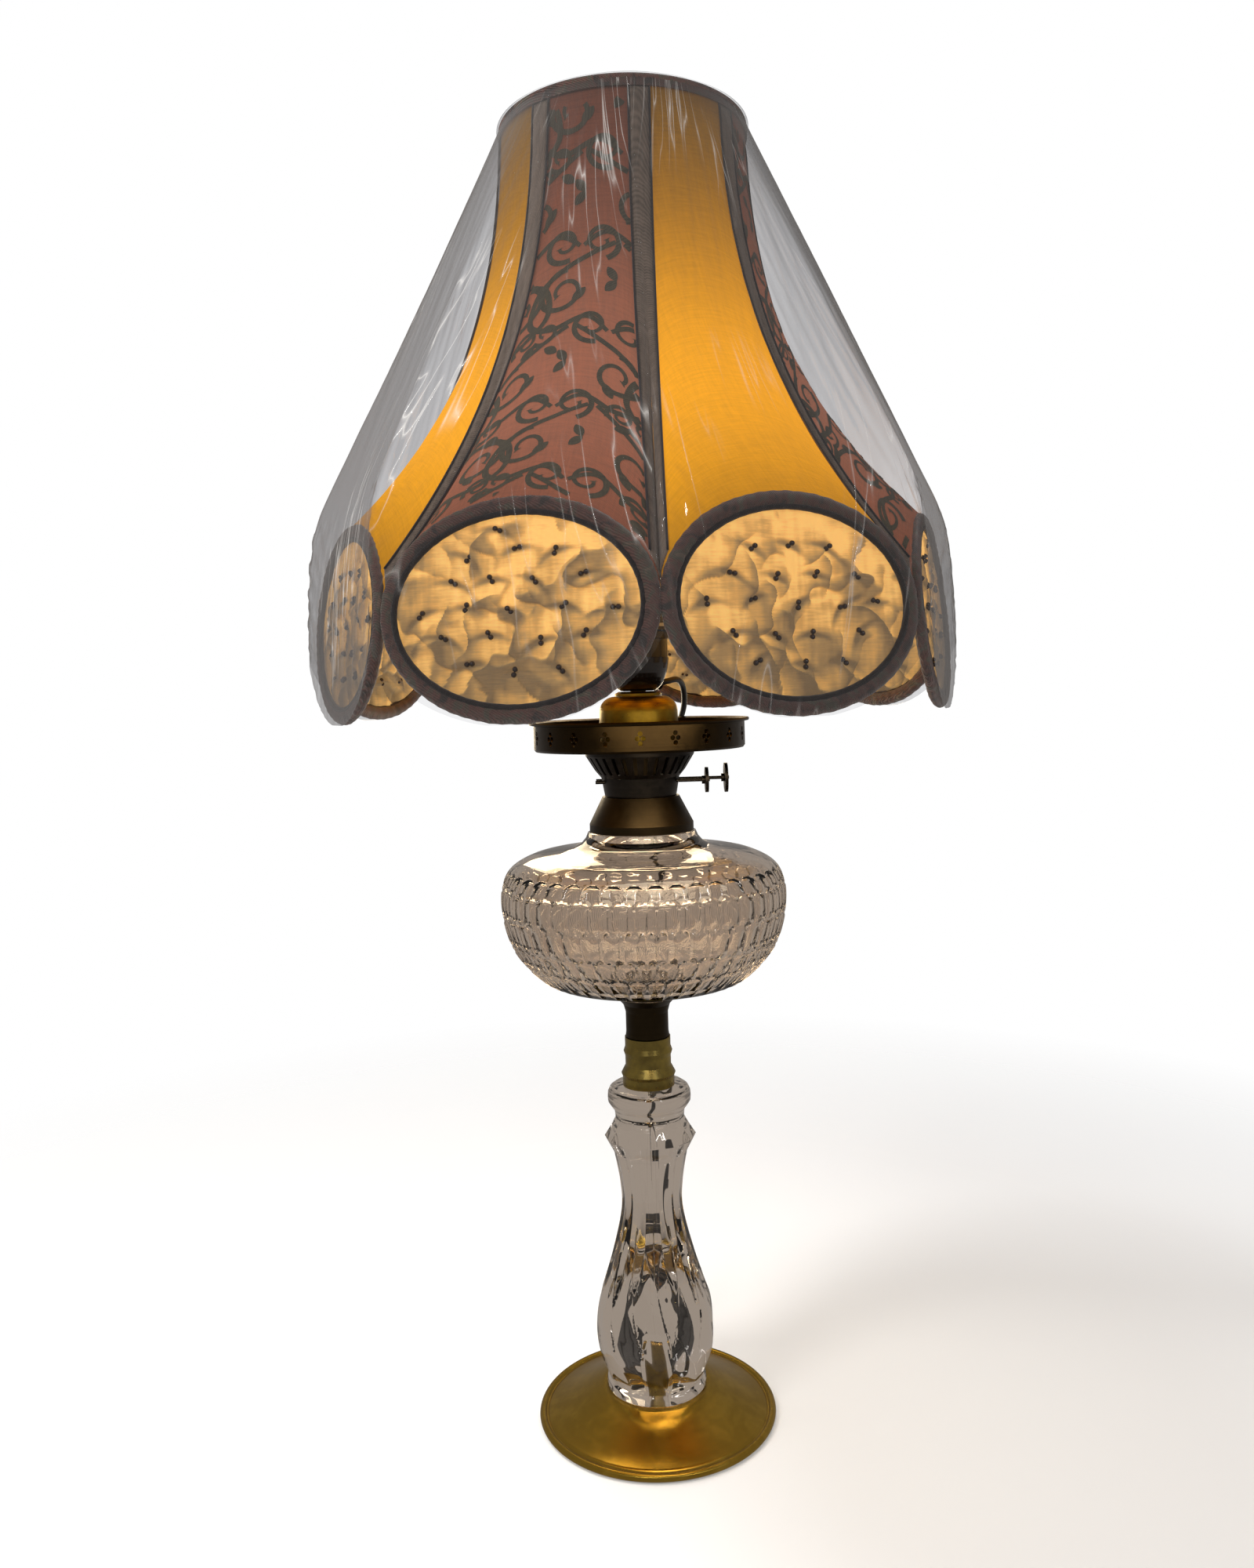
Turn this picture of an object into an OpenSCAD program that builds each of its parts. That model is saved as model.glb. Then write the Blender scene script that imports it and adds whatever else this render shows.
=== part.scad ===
// Duplex-burner oil lamp converted to electricity, with a panelled bell shade.
// Millimetres, +Z up, origin on the table at the middle of the base.
// Azimuths on the shade are counted from -Y towards +X.

/* [Base] */
// Radius of the rolled rim of the base
base_r = 75.3; // [70:0.5:80]
// Height of the flat that carries the glass stem
base_h = 19; // [16:0.5:19]
// Thickness of the spun brass
brass_t = 1.2; // [0.8:0.1:1.4]
// Thickness of the felt under the base
felt_t = 2; // [1.5:0.5:2.5]

/* [Stem and font] */
// Largest radius of the baluster
stem_r = 37.6; // [34:0.2:40]
// Largest radius of the oil font
font_r = 91; // [84:1:92]
// Radius of the collar cemented on the font
collar_r = 33.3; // [33:0.1:34.5]

/* [Burner] */
// Outer radius of the pierced gallery tray
tray_r = 67.5; // [60:0.5:68]
// Number of four-lobed piercings in the tray wall
tray_piercings = 20; // [12:1:22]
// Number of air slots in the burner basket
basket_slots = 30; // [20:2:32]
// Radius of the winder spindles
spindle_r = 1.1; // [0.9:0.1:1.2]
// Distance of each spindle from the middle plane
spindle_y = 8; // [7.8:0.1:8.2]
// Radius of the front winder's thumb disc
front_disc_r = 8; // [6:0.5:9]
// Radius of the rear winder's thumb disc
rear_disc_r = 9.5; // [8:0.5:10]

/* [Lampholder and bulb] */
// Radius of the threaded lampholder body
holder_r = 19.9; // [19:0.1:20.2]
// Radius of the candle bulb's glass
bulb_r = 17.5; // [15:0.5:18]
// Running clearance of screwed and turning fits
run_gap = 0.05; // [0.03:0.01:0.1]

/* [Shade] */
// Outer radius of the bound top ring
shade_top_r = 79.5; // [75:0.5:82]
// Height of the top of the shade above the table
shade_top_z = 819; // [800:1:830]
// Radius at which neighbouring medallions meet
shade_v_r = 200; // [197:0.5:202]
// Height of the medallions' middles
medallion_z = 503.5; // [500:0.5:506]
// Half height of a medallion with its trim
medallion_half_h = 56.5; // [50:0.5:58]
// Outward lean of the medallions towards their lower edge, in degrees
medallion_lean = 4; // [0:0.5:5]
// Azimuth of the front rib's foot, in degrees
front_rib = 3; // [-10:1:10]
// How much further round each rib's head is than its foot, in degrees
rib_twist = 4; // [0:1:6]
// Width of the fabric band over each rib
band_w = 12; // [8:0.5:14]
// Radius of the frame wire
wire_r = 1.2; // [0.8:0.1:1.4]

/* [Cord] */
// Diameter of the cord
cord_d = 4; // [3.5:0.1:4.2]

/* [Hidden] */
$fn = 96;

// Levels up the lamp
stem_z = base_h + 0.2;
stem_top_z = 209;
ferrule_split_z = 240.5;
font_z = 266;
collar_z = 371.8;
collar_top_z = 394;
spindle_z = 403.6;
basket_z = 406.1;
basket_top_z = 424;
tray_z = basket_top_z + 0.1;
tray_top_z = 442.8;
dome_top_z = 457.8;
holder_z = 461;
holder_top_z = 520;
ring_z = 494;
ring_h = 7;

// Connections
bolt_r = 3;
insert_r = 5;
stud_r = 5;
peg_r = 11.8;
glass_wall = 5;
neck_r = 28;
neck_bore_r = 23.5;
cup_neck_r = 19.5;
nipple_r = 5;
fit_gap = 0.2;
outlet_z = 466;
outlet_turn = 40;
outlet_reach = 18;
cap_r = 13.15;

// Shade
sides = 8;
step = 360 / sides;
medallion_d = shade_v_r * cos(step / 2);
trim_half_w = 4.5;
trim_half_t = 3.2;
edge_a = shade_v_r * sin(step / 2) - 0.35;
edge_b = medallion_half_h + 0.4;
wire_a = edge_a - trim_half_w - 0.4;
wire_b = medallion_half_h - trim_half_w;
cloth_t = 0.8;
panel_top_r = shade_top_r - 1.5;
panel_top_z = shade_top_z - 5;
binding_h = 8;
ring_wire_r = 1.6;
fitter_z = ring_z + ring_h + 0.1;
fitter_r = 27.5;
panel_side = [[panel_top_r, panel_top_z], [panel_top_r + 2, 700], [118, 601],
    [norm([medallion_d, edge_a]), medallion_z]];
rib_side = [[panel_top_r - 2.9, panel_top_z], [panel_top_r - 2, 699], [113.5, 598],
    [shade_v_r - 6.5, medallion_z + 1]];

// Cord: the free run from the lampholder down to the coil, then the coil and the plug
cord_route = [[14, 12, 466], [20, 17, 467], [26, 27, 468], [30, 40, 465], [32, 52, 458],
    [32, 64, 449], [29, 74, 437], [24, 84, 415], [19, 91, 385], [14, 94, 350], [10, 94, 320],
    [6, 94, 280], [3, 94, 240], [0, 94, 200], [-4, 93, 160], [-8, 92, 120], [-13, 90, 80],
    [-17, 88, 45], [-18, 88, 30], [-16, 88, 20], [-10, 88, 13], [0, 88, 10]];
cord_sides = 8;
cord_ring_gap = 9;
coil_y = 108;
coil_in_r = 18;
coil_out_r = 30;
coil_h = 12;
tail_turn = 30;
tail_start = [24, 122, 2];
plug_start = [13, 141, 7];
plug_heading = 120;
plug_w = 35.3;
plug_t = 13.7;
plug_grip = 12;
plug_len = 30;
pin_len = 19;
pin_r = 2;
pin_gap = 19;

// Points on a cubic curve with control points p, in steps equal parts
function bezier(p, t) = pow(1 - t, 3) * p[0] + 3 * t * pow(1 - t, 2) * p[1]
    + 3 * t * t * (1 - t) * p[2] + pow(t, 3) * p[3];
function curve(p, steps) = [for (i = [0:steps]) bezier(p, i / steps)];

// A smooth line through every point of p
function at(p, i) = p[max(0, min(len(p) - 1, i))];
function smooth_point(p, i, t) = 0.5 * (2 * at(p, i)
    + t * (at(p, i + 1) - at(p, i - 1))
    + t * t * (2 * at(p, i - 1) - 5 * at(p, i) + 4 * at(p, i + 1) - at(p, i + 2))
    + t * t * t * (3 * at(p, i) - at(p, i - 1) - 3 * at(p, i + 1) + at(p, i + 2)));
function smooth(p, steps) = concat([for (i = [0:len(p) - 2]) for (j = [0:steps - 1])
    smooth_point(p, i, j / steps)], [p[len(p) - 1]]);
function arc(c, r, a0, a1, steps) = [for (i = [0:steps])
    c + r * [cos(a0 + (a1 - a0) * i / steps), sin(a0 + (a1 - a0) * i / steps)]];
function reversed(p) = [for (i = [len(p) - 1:-1:0]) p[i]];
function unit(v) = v / norm(v);

// A solid through rings of points: a bar with two ends, a sheet whose rings are narrow
// strips, or a closed hoop
module loft(rings, hoop = false, sheet = false) {
    n = len(rings[0]);
    m = len(rings);
    sides_of = [for (i = [0:m - (hoop ? 1 : 2)]) for (j = [0:n - 1]) for (half = [0, 1])
        let (a = i * n + j, b = i * n + (j + 1) % n, c = (i + 1) % m * n + j,
            d = (i + 1) % m * n + (j + 1) % n) half == 0 ? [a, b, d] : [a, d, c]];
    last = (m - 1) * n;
    ends = hoop ? [] : !sheet ? [[for (j = [n - 1:-1:0]) j], [for (j = [0:n - 1]) last + j]]
        : [for (j = [0:n / 2 - 2]) for (e = [0:3]) let (a = j, b = j + 1, c = n - 2 - j, d = n - 1 - j)
            e == 0 ? [a, d, b] : e == 1 ? [b, d, c]
            : e == 2 ? [last + a, last + b, last + d] : [last + b, last + c, last + d]];
    polyhedron([for (r = rings) for (p = r) p], concat(sides_of, ends), convexity = 8);
}

// Rings of a round bar that follows the points of path
function along(path, i) = unit(path[min(len(path) - 1, i + 1)] - path[max(0, i - 1)]);
function carried(side, dir) = unit(side - (side * dir) * dir);
function frames(path, i, side) = i == len(path) ? [] :
    let (s = carried(side, along(path, i))) concat([s], frames(path, i + 1, s));
function bar_rings(path, r, n, side = [0, 0, 1]) = let (f = frames(path, 0, side))
    [for (i = [0:len(path) - 1]) let (u = f[i], w = cross(along(path, i), u))
        [for (j = [0:n - 1]) path[i] + r * (cos(360 * j / n) * u + sin(360 * j / n) * w)]];

// A lathe-turned piece from its half outline
module turned(outline) {
    rotate_extrude() polygon(outline);
}

module tube(r_out, r_in, z0, z1) {
    turned([[r_in, z0], [r_out, z0], [r_out, z1], [r_in, z1]]);
}

// ---- Base ----

module base_pad() {
    color("darkolivegreen") tube(base_r - 9, 0, 0, felt_t);
}

module base_weight() {
    z = felt_t + 4.2;
    color("dimgray") turned([[bolt_r + fit_gap, z], [base_r - 31, z], [base_r - 31, z + 4.5],
        [32, base_h - 2.8], [bolt_r + fit_gap, base_h - 2.8]]);
}

module base_dish() {
    bead_r = 2.3;
    bead = [base_r - bead_r, bead_r + 0.4];
    top = curve([[base_r - 6, 4.4], [base_r - 18, 8], [46, 15], [34, base_h]], 12);
    under = [for (p = reversed(top)) p - [0.4, brass_t]];
    color("goldenrod") turned(concat(
        [[base_r - 5, felt_t + 0.1], [base_r - bead_r, 0.4]],
        arc(bead, bead_r, -80, 150, 14), top,
        [[bolt_r + fit_gap, base_h], [bolt_r + fit_gap, base_h - brass_t]],
        under));
}

module foot_bolt() {
    head_z = felt_t + 0.2;
    color("dimgray") {
        translate([0, 0, head_z]) cylinder(h = 3.8, r = 5.5, $fn = 6);
        translate([0, 0, head_z + 3.8]) cylinder(h = 40, r = bolt_r);
    }
}

module foot_washer() {
    color("silver") tube(14, bolt_r + fit_gap, base_h - 2.7, base_h - 1.3);
}

module foot_insert() {
    color("darkgoldenrod") tube(insert_r, bolt_r + run_gap, base_h + 0.3, base_h + 30);
}

// ---- Stem and ferrules ----

module stem_glass() {
    k = stem_r / 37.6;
    body = [[30.6, 27.5], [35.4, 39.5], [37.6, 54.6], [35.4, 74], [26.6, 101], [19.8, 129],
        [20, 147], [23.3, 166]];
    knop = [[25.5, 170], [29.2, 177], [25, 183.5], [21.9, 188.7], [22.5, 194],
        [26.6, 199], [26.6, 205], [23, stem_top_z]];
    color("lavender", 0.5) turned(concat(
        [[insert_r + fit_gap, stem_z], [31.6 * k, stem_z], [31.6 * k, 24]],
        [for (p = smooth(body, 4)) [p[0] * k, p[1]]],
        knop,
        [[peg_r, stem_top_z], [peg_r, stem_top_z + 13], [0, stem_top_z + 13],
            [0, base_h + 32], [insert_r + fit_gap, base_h + 32]]));
}

module stem_ferrule() {
    z = stem_top_z + 0.2;
    top = ferrule_split_z - 0.5;
    color("darkkhaki") turned([[peg_r + 0.4, z], [16.5, z], [16.5, 215], [17.3, 217],
        [16, 219.5], [14.6, 222], [14.6, 228], [15.6, 231], [14.6, 234], [14.6, top],
        [stud_r + run_gap, top], [stud_r + run_gap, top - 3], [peg_r + 0.4, top - 3]]);
}

module ferrule_stud() {
    color("darkgoldenrod") tube(stud_r, 0, stem_top_z + 16, 254);
}

module font_ferrule() {
    z = ferrule_split_z + 0.1;
    color("saddlebrown") turned([[stud_r + run_gap, z], [14, z], [13.6, z + 3], [13.6, 256],
        [15, 261], [19, 265.4], [17.6, 265.4], [14.2, 262], [12.2, 258], [12.2, z + 3],
        [stud_r + run_gap, z + 3]]);
}

module font_glass() {
    k = font_r / 91;
    outer = [[20, font_z], [47, 274], [66, 280], [84, 300], [91, 327], [87, 347], [72, 357],
        [51, 361]];
    inner = [[44, 278.5], [62, 285], [78.5, 303], [85.5, 327], [81.5, 343.5], [69, 351.5],
        [48, 356]];
    color("lavender", 0.5) turned(concat(
        [[0, 256], [peg_r, 256], [peg_r, font_z - 0.2]],
        [for (p = smooth(outer, 4)) [p[0] * k, p[1]]],
        [[39, 364.5], [34.6, 371.4], [neck_r, 371.4], [neck_r, 380], [neck_bore_r, 380],
            [neck_bore_r, 369], [32, 361]],
        [for (p = reversed(smooth(inner, 4))) [p[0] * k, p[1]]],
        [[0, 273]]));
}

module collar_plaster() {
    color("gainsboro") tube(collar_r - 1.8, neck_r + 0.1, collar_z - 0.2, collar_z + 4);
}

module font_collar() {
    color("saddlebrown") turned([[collar_r - 1.5, collar_z], [collar_r, collar_z],
        [collar_r, collar_z + 5], [24.6, collar_top_z], [cup_neck_r + fit_gap, collar_top_z],
        [cup_neck_r + fit_gap, collar_top_z - 1.4], [23.4, collar_top_z - 1.4],
        [collar_r - 1.5, collar_z + 4.4]]);
}

// ---- Burner ----

module burner_cup() {
    z = collar_top_z + 0.2;
    color("#1f1b18") difference() {
        turned([[cup_neck_r - 1.3, z - 9], [cup_neck_r, z - 9], [cup_neck_r, z], [22.9, z],
            [25, basket_z - 0.1], [23.8, basket_z - 0.1], [21.8, z + 1.3],
            [cup_neck_r - 1.3, z + 1.3]]);
        for (side = [-1, 1]) translate([-30, side * spindle_y, spindle_z]) rotate([0, 90, 0])
            cylinder(h = 60, r = spindle_r + run_gap);
    }
}

module burner_basket() {
    slot_w = 2.4;
    color("#1f1b18") difference() {
        turned([[23.9, basket_z], [25, basket_z], [29, 411], [34.9, 420.5],
            [34.9, basket_top_z], [33.7, basket_top_z], [33.7, 421], [28, 412]]);
        for (i = [1:basket_slots]) rotate(i * 360 / basket_slots)
            translate([20, -slot_w / 2, 408.5]) cube([20, slot_w, 11]);
    }
}

module wick_tubes() {
    deck_z = collar_top_z + 1.6;
    wick_w = 26;
    near = 2.2;
    far = 6.2;
    wall = 0.5;
    color("#5a4a2a") difference() {
        union() {
            translate([0, 0, deck_z]) cylinder(h = 1.2, r = 21.3);
            for (side = [0, 180]) rotate(side) translate([-wick_w / 2, near, 388])
                cube([wick_w, far - near, 52]);
        }
        for (side = [0, 180]) rotate(side) {
            translate([wall - wick_w / 2, near + wall, 387])
                cube([wick_w - 2 * wall, far - near - 2 * wall, 54]);
            for (x = [-7, 7]) translate([x - 2, far - 1, spindle_z - 4.2]) cube([4, 2, 8.4]);
        }
    }
}

module spindle(y, x_end) {
    color("#3a332c") translate([-28.6, y, spindle_z]) rotate([0, 90, 0])
        cylinder(h = x_end + 28.6, r = spindle_r);
}

module thumb_disc(y, x, r) {
    color("#3a332c") translate([x - 1, y, spindle_z]) rotate([0, 90, 0]) difference() {
        union() {
            cylinder(h = 2, r = r);
            translate([0, 0, -2]) cylinder(h = 2, r = 2.6);
        }
        translate([0, 0, -3]) cylinder(h = 6, r = spindle_r + 0.02);
    }
}

module spur_wheels(y) {
    teeth = 8;
    color("darkgoldenrod") for (x = [-7, 7]) translate([x - 0.8, y, spindle_z])
        rotate([0, 90, 0]) difference() {
            linear_extrude(1.6) polygon([for (i = [0:2 * teeth - 1])
                (i % 2 == 0 ? 3 : 2) * [cos(180 * i / teeth), sin(180 * i / teeth)]]);
            translate([0, 0, -1]) cylinder(h = 4, r = spindle_r + 0.02);
        }
}

module quatrefoil(lobe_r, up, across) {
    for (p = [[up, 0], [-up, 0], [0, across], [0, -across]]) translate([p[0], p[1], 0])
        cylinder(h = 10, r = lobe_r, $fn = 12);
}

module gallery_tray() {
    wall = 1.2;
    mid_z = (tray_z + tray_top_z) / 2 - 0.5;
    color("#4a3820") difference() {
        turned([[30, tray_z], [tray_r - 1, tray_z], [tray_r, tray_z + 1.4],
            [tray_r, tray_top_z - 2.4], [tray_r + 2.6, tray_top_z - 1.9],
            [tray_r + 3, tray_top_z - 0.9], [tray_r + 2.6, tray_top_z],
            [tray_r - wall, tray_top_z - 1], [tray_r - wall, tray_z + 1.5], [30, tray_z + 1.2]]);
        for (i = [1:tray_piercings]) rotate(i * 360 / tray_piercings)
            translate([tray_r - 5, 0, mid_z]) rotate([0, 90, 0]) quatrefoil(1.5, 2.9, 1.7);
    }
}

module burner_dome() {
    z = tray_z + 1.3;
    shoulder = arc([15.2, dome_top_z - 10], 10, 0, 90, 10);
    inside = arc([15.2, dome_top_z - 10], 9, 90, 0, 10);
    color("#a0761e") turned(concat(
        [[24.4, z], [33, z], [33, z + 1], [25.8, z + 1.6]], shoulder,
        [[nipple_r + 0.1, dome_top_z], [nipple_r + 0.1, dome_top_z - 1]], inside));
}

module dome_flange() {
    color("#a0761e") turned([[nipple_r + 0.1, dome_top_z + 0.1], [15, dome_top_z + 0.1],
        [15, dome_top_z + 1.6], [12.5, holder_z - 0.2], [nipple_r + 0.1, holder_z - 0.2]]);
}

module socket_nipple() {
    color("darkgoldenrod") tube(nipple_r, 3.6, dome_top_z - 12, holder_z + 14);
}

module socket_locknut() {
    color("darkgoldenrod") translate([0, 0, dome_top_z - 5.5]) difference() {
        cylinder(h = 4, r = 8.5, $fn = 6);
        translate([0, 0, -1]) cylinder(h = 6, r = nipple_r + run_gap);
    }
}

// ---- Lampholder and bulb ----

module socket_cap() {
    seat_z = 482;
    bowl = curve([[9, holder_z], [15, holder_z], [19.6, 470], [20.4, seat_z]], 10);
    hollow = curve([[7.5, holder_z + 2], [13.6, holder_z + 2], [17.6, 471], [18.4, seat_z]], 10);
    color("#141210") difference() {
        union() {
            turned(concat([[nipple_r + 0.1, holder_z]], bowl, reversed(hollow),
                [[nipple_r + 0.1, holder_z + 2]]));
            translate([0, 0, outlet_z]) rotate([0, 90, outlet_turn]) translate([0, 0, 13.5])
                cylinder(h = outlet_reach - 13.5, r = 4.6);
        }
        translate([0, 0, outlet_z]) rotate([0, 90, outlet_turn])
            cylinder(h = outlet_reach + 2, r = 3.5);
    }
}

module cord_grommet() {
    color("#2a2a2a") translate([0, 0, outlet_z]) rotate([0, 90, outlet_turn]) difference() {
        translate([0, 0, 13.6]) cylinder(h = outlet_reach - 13.6, r = 3.5 - run_gap);
        translate([0, 0, 12]) cylinder(h = 10, r = cord_d / 2 + run_gap);
    }
}

module socket_body() {
    seat_z = 482.2;
    color("#141210") turned([[6, seat_z], [holder_r, seat_z], [holder_r, holder_top_z],
        [17.6, holder_top_z], [14.2, holder_top_z - 5], [14.2, seat_z + 3], [6, seat_z + 3]]);
}

module screw_shell() {
    color("goldenrod") tube(14.1, cap_r + run_gap, 486.5, 512);
}

module centre_contact() {
    color("goldenrod") translate([-4, -4, 485.4]) cube([8, 8, 0.8]);
}

module shade_ring() {
    color("#1c1a18") turned([[holder_r + run_gap, ring_z], [23.5, ring_z], [23.5, ring_z + 4],
        [28, ring_z + 5], [28, ring_z + ring_h], [holder_r + run_gap, ring_z + ring_h]]);
}

module bulb_cap() {
    color("goldenrod") turned([[0, 486.4], [4, 486.4], [9, 489], [cap_r, 491],
        [cap_r, 512.9], [0, 512.9]]);
}

module bulb_glass() {
    outside = curve([[12.6, 513], [13, 538], [bulb_r + 5.5, 545], [bulb_r - 0.5, 570]], 8);
    tip = curve([[bulb_r - 0.5, 570], [bulb_r - 4.5, 588], [4, 598], [0, 612]], 8);
    wall = 1;
    inner = [for (p = concat(outside, tip)) [max(0, p[0] - wall), p[1] - wall * (p[1] - 513) / 99]];
    color("ivory", 0.6) turned(concat([[0, 513]], outside, tip, [[0, 610.8]],
        [for (p = reversed(inner)) if (p[0] > 0.5 && p[1] > 515) p], [[0, 515]]));
}

module bulb_filament() {
    color("orange") {
        translate([0, 0, 517.2]) cylinder(h = 16, r = 3);
        for (a = [45:90:315]) rotate(a) translate([5, 0, 533.4]) cylinder(h = 38, r = 0.8);
        translate([0, 0, 533.2]) cylinder(h = 0.8, r = 7);
    }
}

// ---- Shade geometry ----

function out_dir(a) = [sin(a), -cos(a), 0];
function rib_azimuth(k) = front_rib + step * k;
function on_rib(side, k, v) = let (p = bezier(side, v))
    p[0] * out_dir(rib_azimuth(k) + rib_twist * (1 - v)) + [0, 0, p[1]];

// A place in medallion k's plane: s along, h up the plane and n outward from it
function medallion_point(k, s, h, n) =
    let (a = rib_azimuth(k + 0.5), r = out_dir(a), t = [cos(a), sin(a), 0], up = [0, 0, 1],
        lift = cos(medallion_lean) * up - sin(medallion_lean) * r,
        face = cos(medallion_lean) * r + sin(medallion_lean) * up)
    medallion_d * r + medallion_z * up + s * t + h * lift + n * face;

// The cloth between ribs k and k + 1, hung from the top ring to the medallion's upper edge
function lower_edge(k, u) = medallion_point(k, -edge_a * cos(180 * u), edge_b * sin(180 * u), 0);
function upper_edge(k, u) = panel_top_r * out_dir(rib_azimuth(k + u) + rib_twist)
    + [0, 0, panel_top_z];
function panel_point(k, u, v) =
    let (left = on_rib(panel_side, k, v), right = on_rib(panel_side, k + 1, v),
        hang = pow(v, 1.4), foot = (1 - u) * lower_edge(k, 0) + u * lower_edge(k, 1),
        head = (1 - u) * upper_edge(k, 0) + u * upper_edge(k, 1))
    (1 - u) * left + u * right + (1 - v) * (upper_edge(k, u) - head)
        + hang * (lower_edge(k, u) - foot);
function panel_normal(k, u, v) = let (e = 0.01)
    unit(cross(panel_point(k, min(1, u + e), v) - panel_point(k, max(0, u - e), v),
        panel_point(k, u, max(0, v - e)) - panel_point(k, u, min(1, v + e))));

// ---- Shade frame ----

module top_ring() {
    color("silver") rotate_extrude() translate([panel_top_r - 2.6, shade_top_z - 3.4])
        circle(r = ring_wire_r, $fn = 24);
}

module shade_ribs() {
    color("silver") for (k = [0:sides - 1]) loft(bar_rings(
        [for (i = [0:10]) on_rib(rib_side, k, i / 10)], wire_r, 6, out_dir(rib_azimuth(k))));
}

function oval_rings(k, a, b, half_w, half_t, steps, n) = [for (i = [0:steps - 1])
    let (g = 360 * i / steps, out = unit([b * cos(g), a * sin(g)])) [for (j = [0:n - 1])
        let (w = half_w * cos(360 * j / n)) medallion_point(k, a * cos(g) + w * out[0],
            b * sin(g) + w * out[1], half_t * sin(360 * j / n))]];

module medallion_frames() {
    color("silver") for (k = [0:sides - 1])
        loft(oval_rings(k, wire_a, wire_b, wire_r, wire_r, 24, 6), hoop = true);
}

module fitter_ring() {
    color("silver") tube(fitter_r, holder_r + 3.1, fitter_z, fitter_z + 2);
}

module fitter_arms() {
    reach = shade_v_r - 10.5;
    arm_r = wire_r + 0.3;
    color("silver") for (k = [0:2:sides - 1]) rotate(rib_azimuth(k) - 90)
        translate([fitter_r, 0, fitter_z + 2.4]) rotate([0, 90, 0])
            cylinder(h = reach - fitter_r, r = arm_r);
}

// ---- Shade cloth ----

module top_binding() {
    outer_r = shade_top_r;
    inner_r = panel_top_r - 5.2;
    color("#3c2c28") turned([[outer_r - 0.8, shade_top_z - binding_h],
        [outer_r, shade_top_z - binding_h], [outer_r, shade_top_z - 1.2],
        [outer_r - 1.2, shade_top_z], [inner_r + 1.2, shade_top_z], [inner_r, shade_top_z - 1.2],
        [inner_r, shade_top_z - binding_h], [inner_r + 0.8, shade_top_z - binding_h],
        [inner_r + 0.8, shade_top_z - 1.4], [outer_r - 0.8, shade_top_z - 1.4]]);
}

module rib_bands() {
    steps = 14;
    start = 0.035;
    low = cloth_t / 2 + 0.25;
    high = low + 0.8;
    color("#5a4c46") for (k = [0:sides - 1]) loft([for (i = [0:steps])
        let (v = start + (0.985 - start) * i / steps,
            u = band_w / 2 / (2 * bezier(panel_side, v)[0] * sin(step / 2)),
            left = k + sides - 1, a = panel_point(left, 1 - u, v), b = panel_point(k, u, v),
            m = on_rib(panel_side, k, v), na = panel_normal(left, 1 - u, v),
            nb = panel_normal(k, u, v), nm = unit(na + nb))
        [a + high * na, m + (high + 0.3) * nm, b + high * nb,
            b + low * nb, m + (low + 0.3) * nm, a + low * na]], sheet = true);
}

module cloth_panel(k) {
    across = 8;
    down = 10;
    side_gap = 0.03;
    loft([for (i = [0:down]) let (v = i / down * 0.997) concat(
        [for (j = [0:across]) let (u = side_gap + (1 - 2 * side_gap) * j / across)
            panel_point(k, u, v) + cloth_t / 2 * panel_normal(k, u, v)],
        [for (j = [across:-1:0]) let (u = side_gap + (1 - 2 * side_gap) * j / across)
            panel_point(k, u, v) - cloth_t / 2 * panel_normal(k, u, v)])], sheet = true);
}

module gold_panels() {
    color("#c8861e") for (k = [0:2:sides - 1]) cloth_panel(k);
}

module brocade_panels() {
    color("#824b37") for (k = [1:2:sides - 1]) cloth_panel(k);
}

module medallion(k) {
    a = wire_a - trim_half_w - 0.3;
    b = wire_b - trim_half_w - 0.3;
    color("#ebbe64") translate(medallion_point(k, 0, 0, 0)) rotate(rib_azimuth(k + 0.5))
        rotate([90 + medallion_lean, 0, 0]) translate([0, 0, -0.5]) linear_extrude(1)
            polygon([for (g = [0:10:350]) [a * cos(g), b * sin(g)]]);
}

module medallion_trims() {
    color("#33262a") for (k = [0:sides - 1])
        loft(oval_rings(k, wire_a, wire_b, trim_half_w, trim_half_t, 28, 8), hoop = true);
}

// The clear film: an eight-sided skirt from the top ring down over the medallions
function film_ring(corner_r, z, roundness) = [for (k = [0:sides - 1]) for (half = [0, 0.5])
    let (flat_r = corner_r * (cos(step / 2) * (1 - roundness) + roundness))
    (half == 0 ? corner_r : flat_r) * out_dir(rib_azimuth(k + half)) + [0, 0, z]];

module film_wrap() {
    film_t = 0.8;
    levels = [[shade_top_r + 2.8, shade_top_z - 0.5, 1], [shade_top_r + 5, shade_top_z - 12, 1],
        [208.5, 566, 0], [211.5, 444, 0]];
    outside = [for (p = levels) film_ring(p[0], p[1], p[2])];
    inside = [for (p = reversed(levels)) film_ring(p[0] - film_t, p[1], p[2])];
    color("white", 0.25) loft([for (r = concat(outside, inside)) reversed(r)], hoop = true);
}

// ---- Cord ----

function length_to(path, i) = i == 0 ? 0 : norm(path[i] - path[i - 1]) + length_to(path, i - 1);
function thinned(path, gap) = let (every = max(1, round(len(path) * gap / length_to(path,
    len(path) - 1)))) concat([for (i = [0:every:len(path) - 2]) path[i]], [path[len(path) - 1]]);

module cord_tube() {
    color("#101010") {
        loft(bar_rings(thinned(smooth(cord_route, 8), cord_ring_gap), cord_d / 2, cord_sides));
        loft(bar_rings([tail_start, (tail_start + plug_start) / 2 - [0, 0, 1], plug_start],
            cord_d / 2, cord_sides));
    }
}

module cord_coil() {
    color("#101010") translate([0, coil_y, 0]) turned([[coil_in_r, 1], [coil_in_r + 1, 0],
        [coil_out_r - 1, 0], [coil_out_r, 1], [coil_out_r, coil_h - 1], [coil_out_r - 1, coil_h],
        [coil_in_r + 1, coil_h], [coil_in_r, coil_h - 1]]);
}

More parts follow.
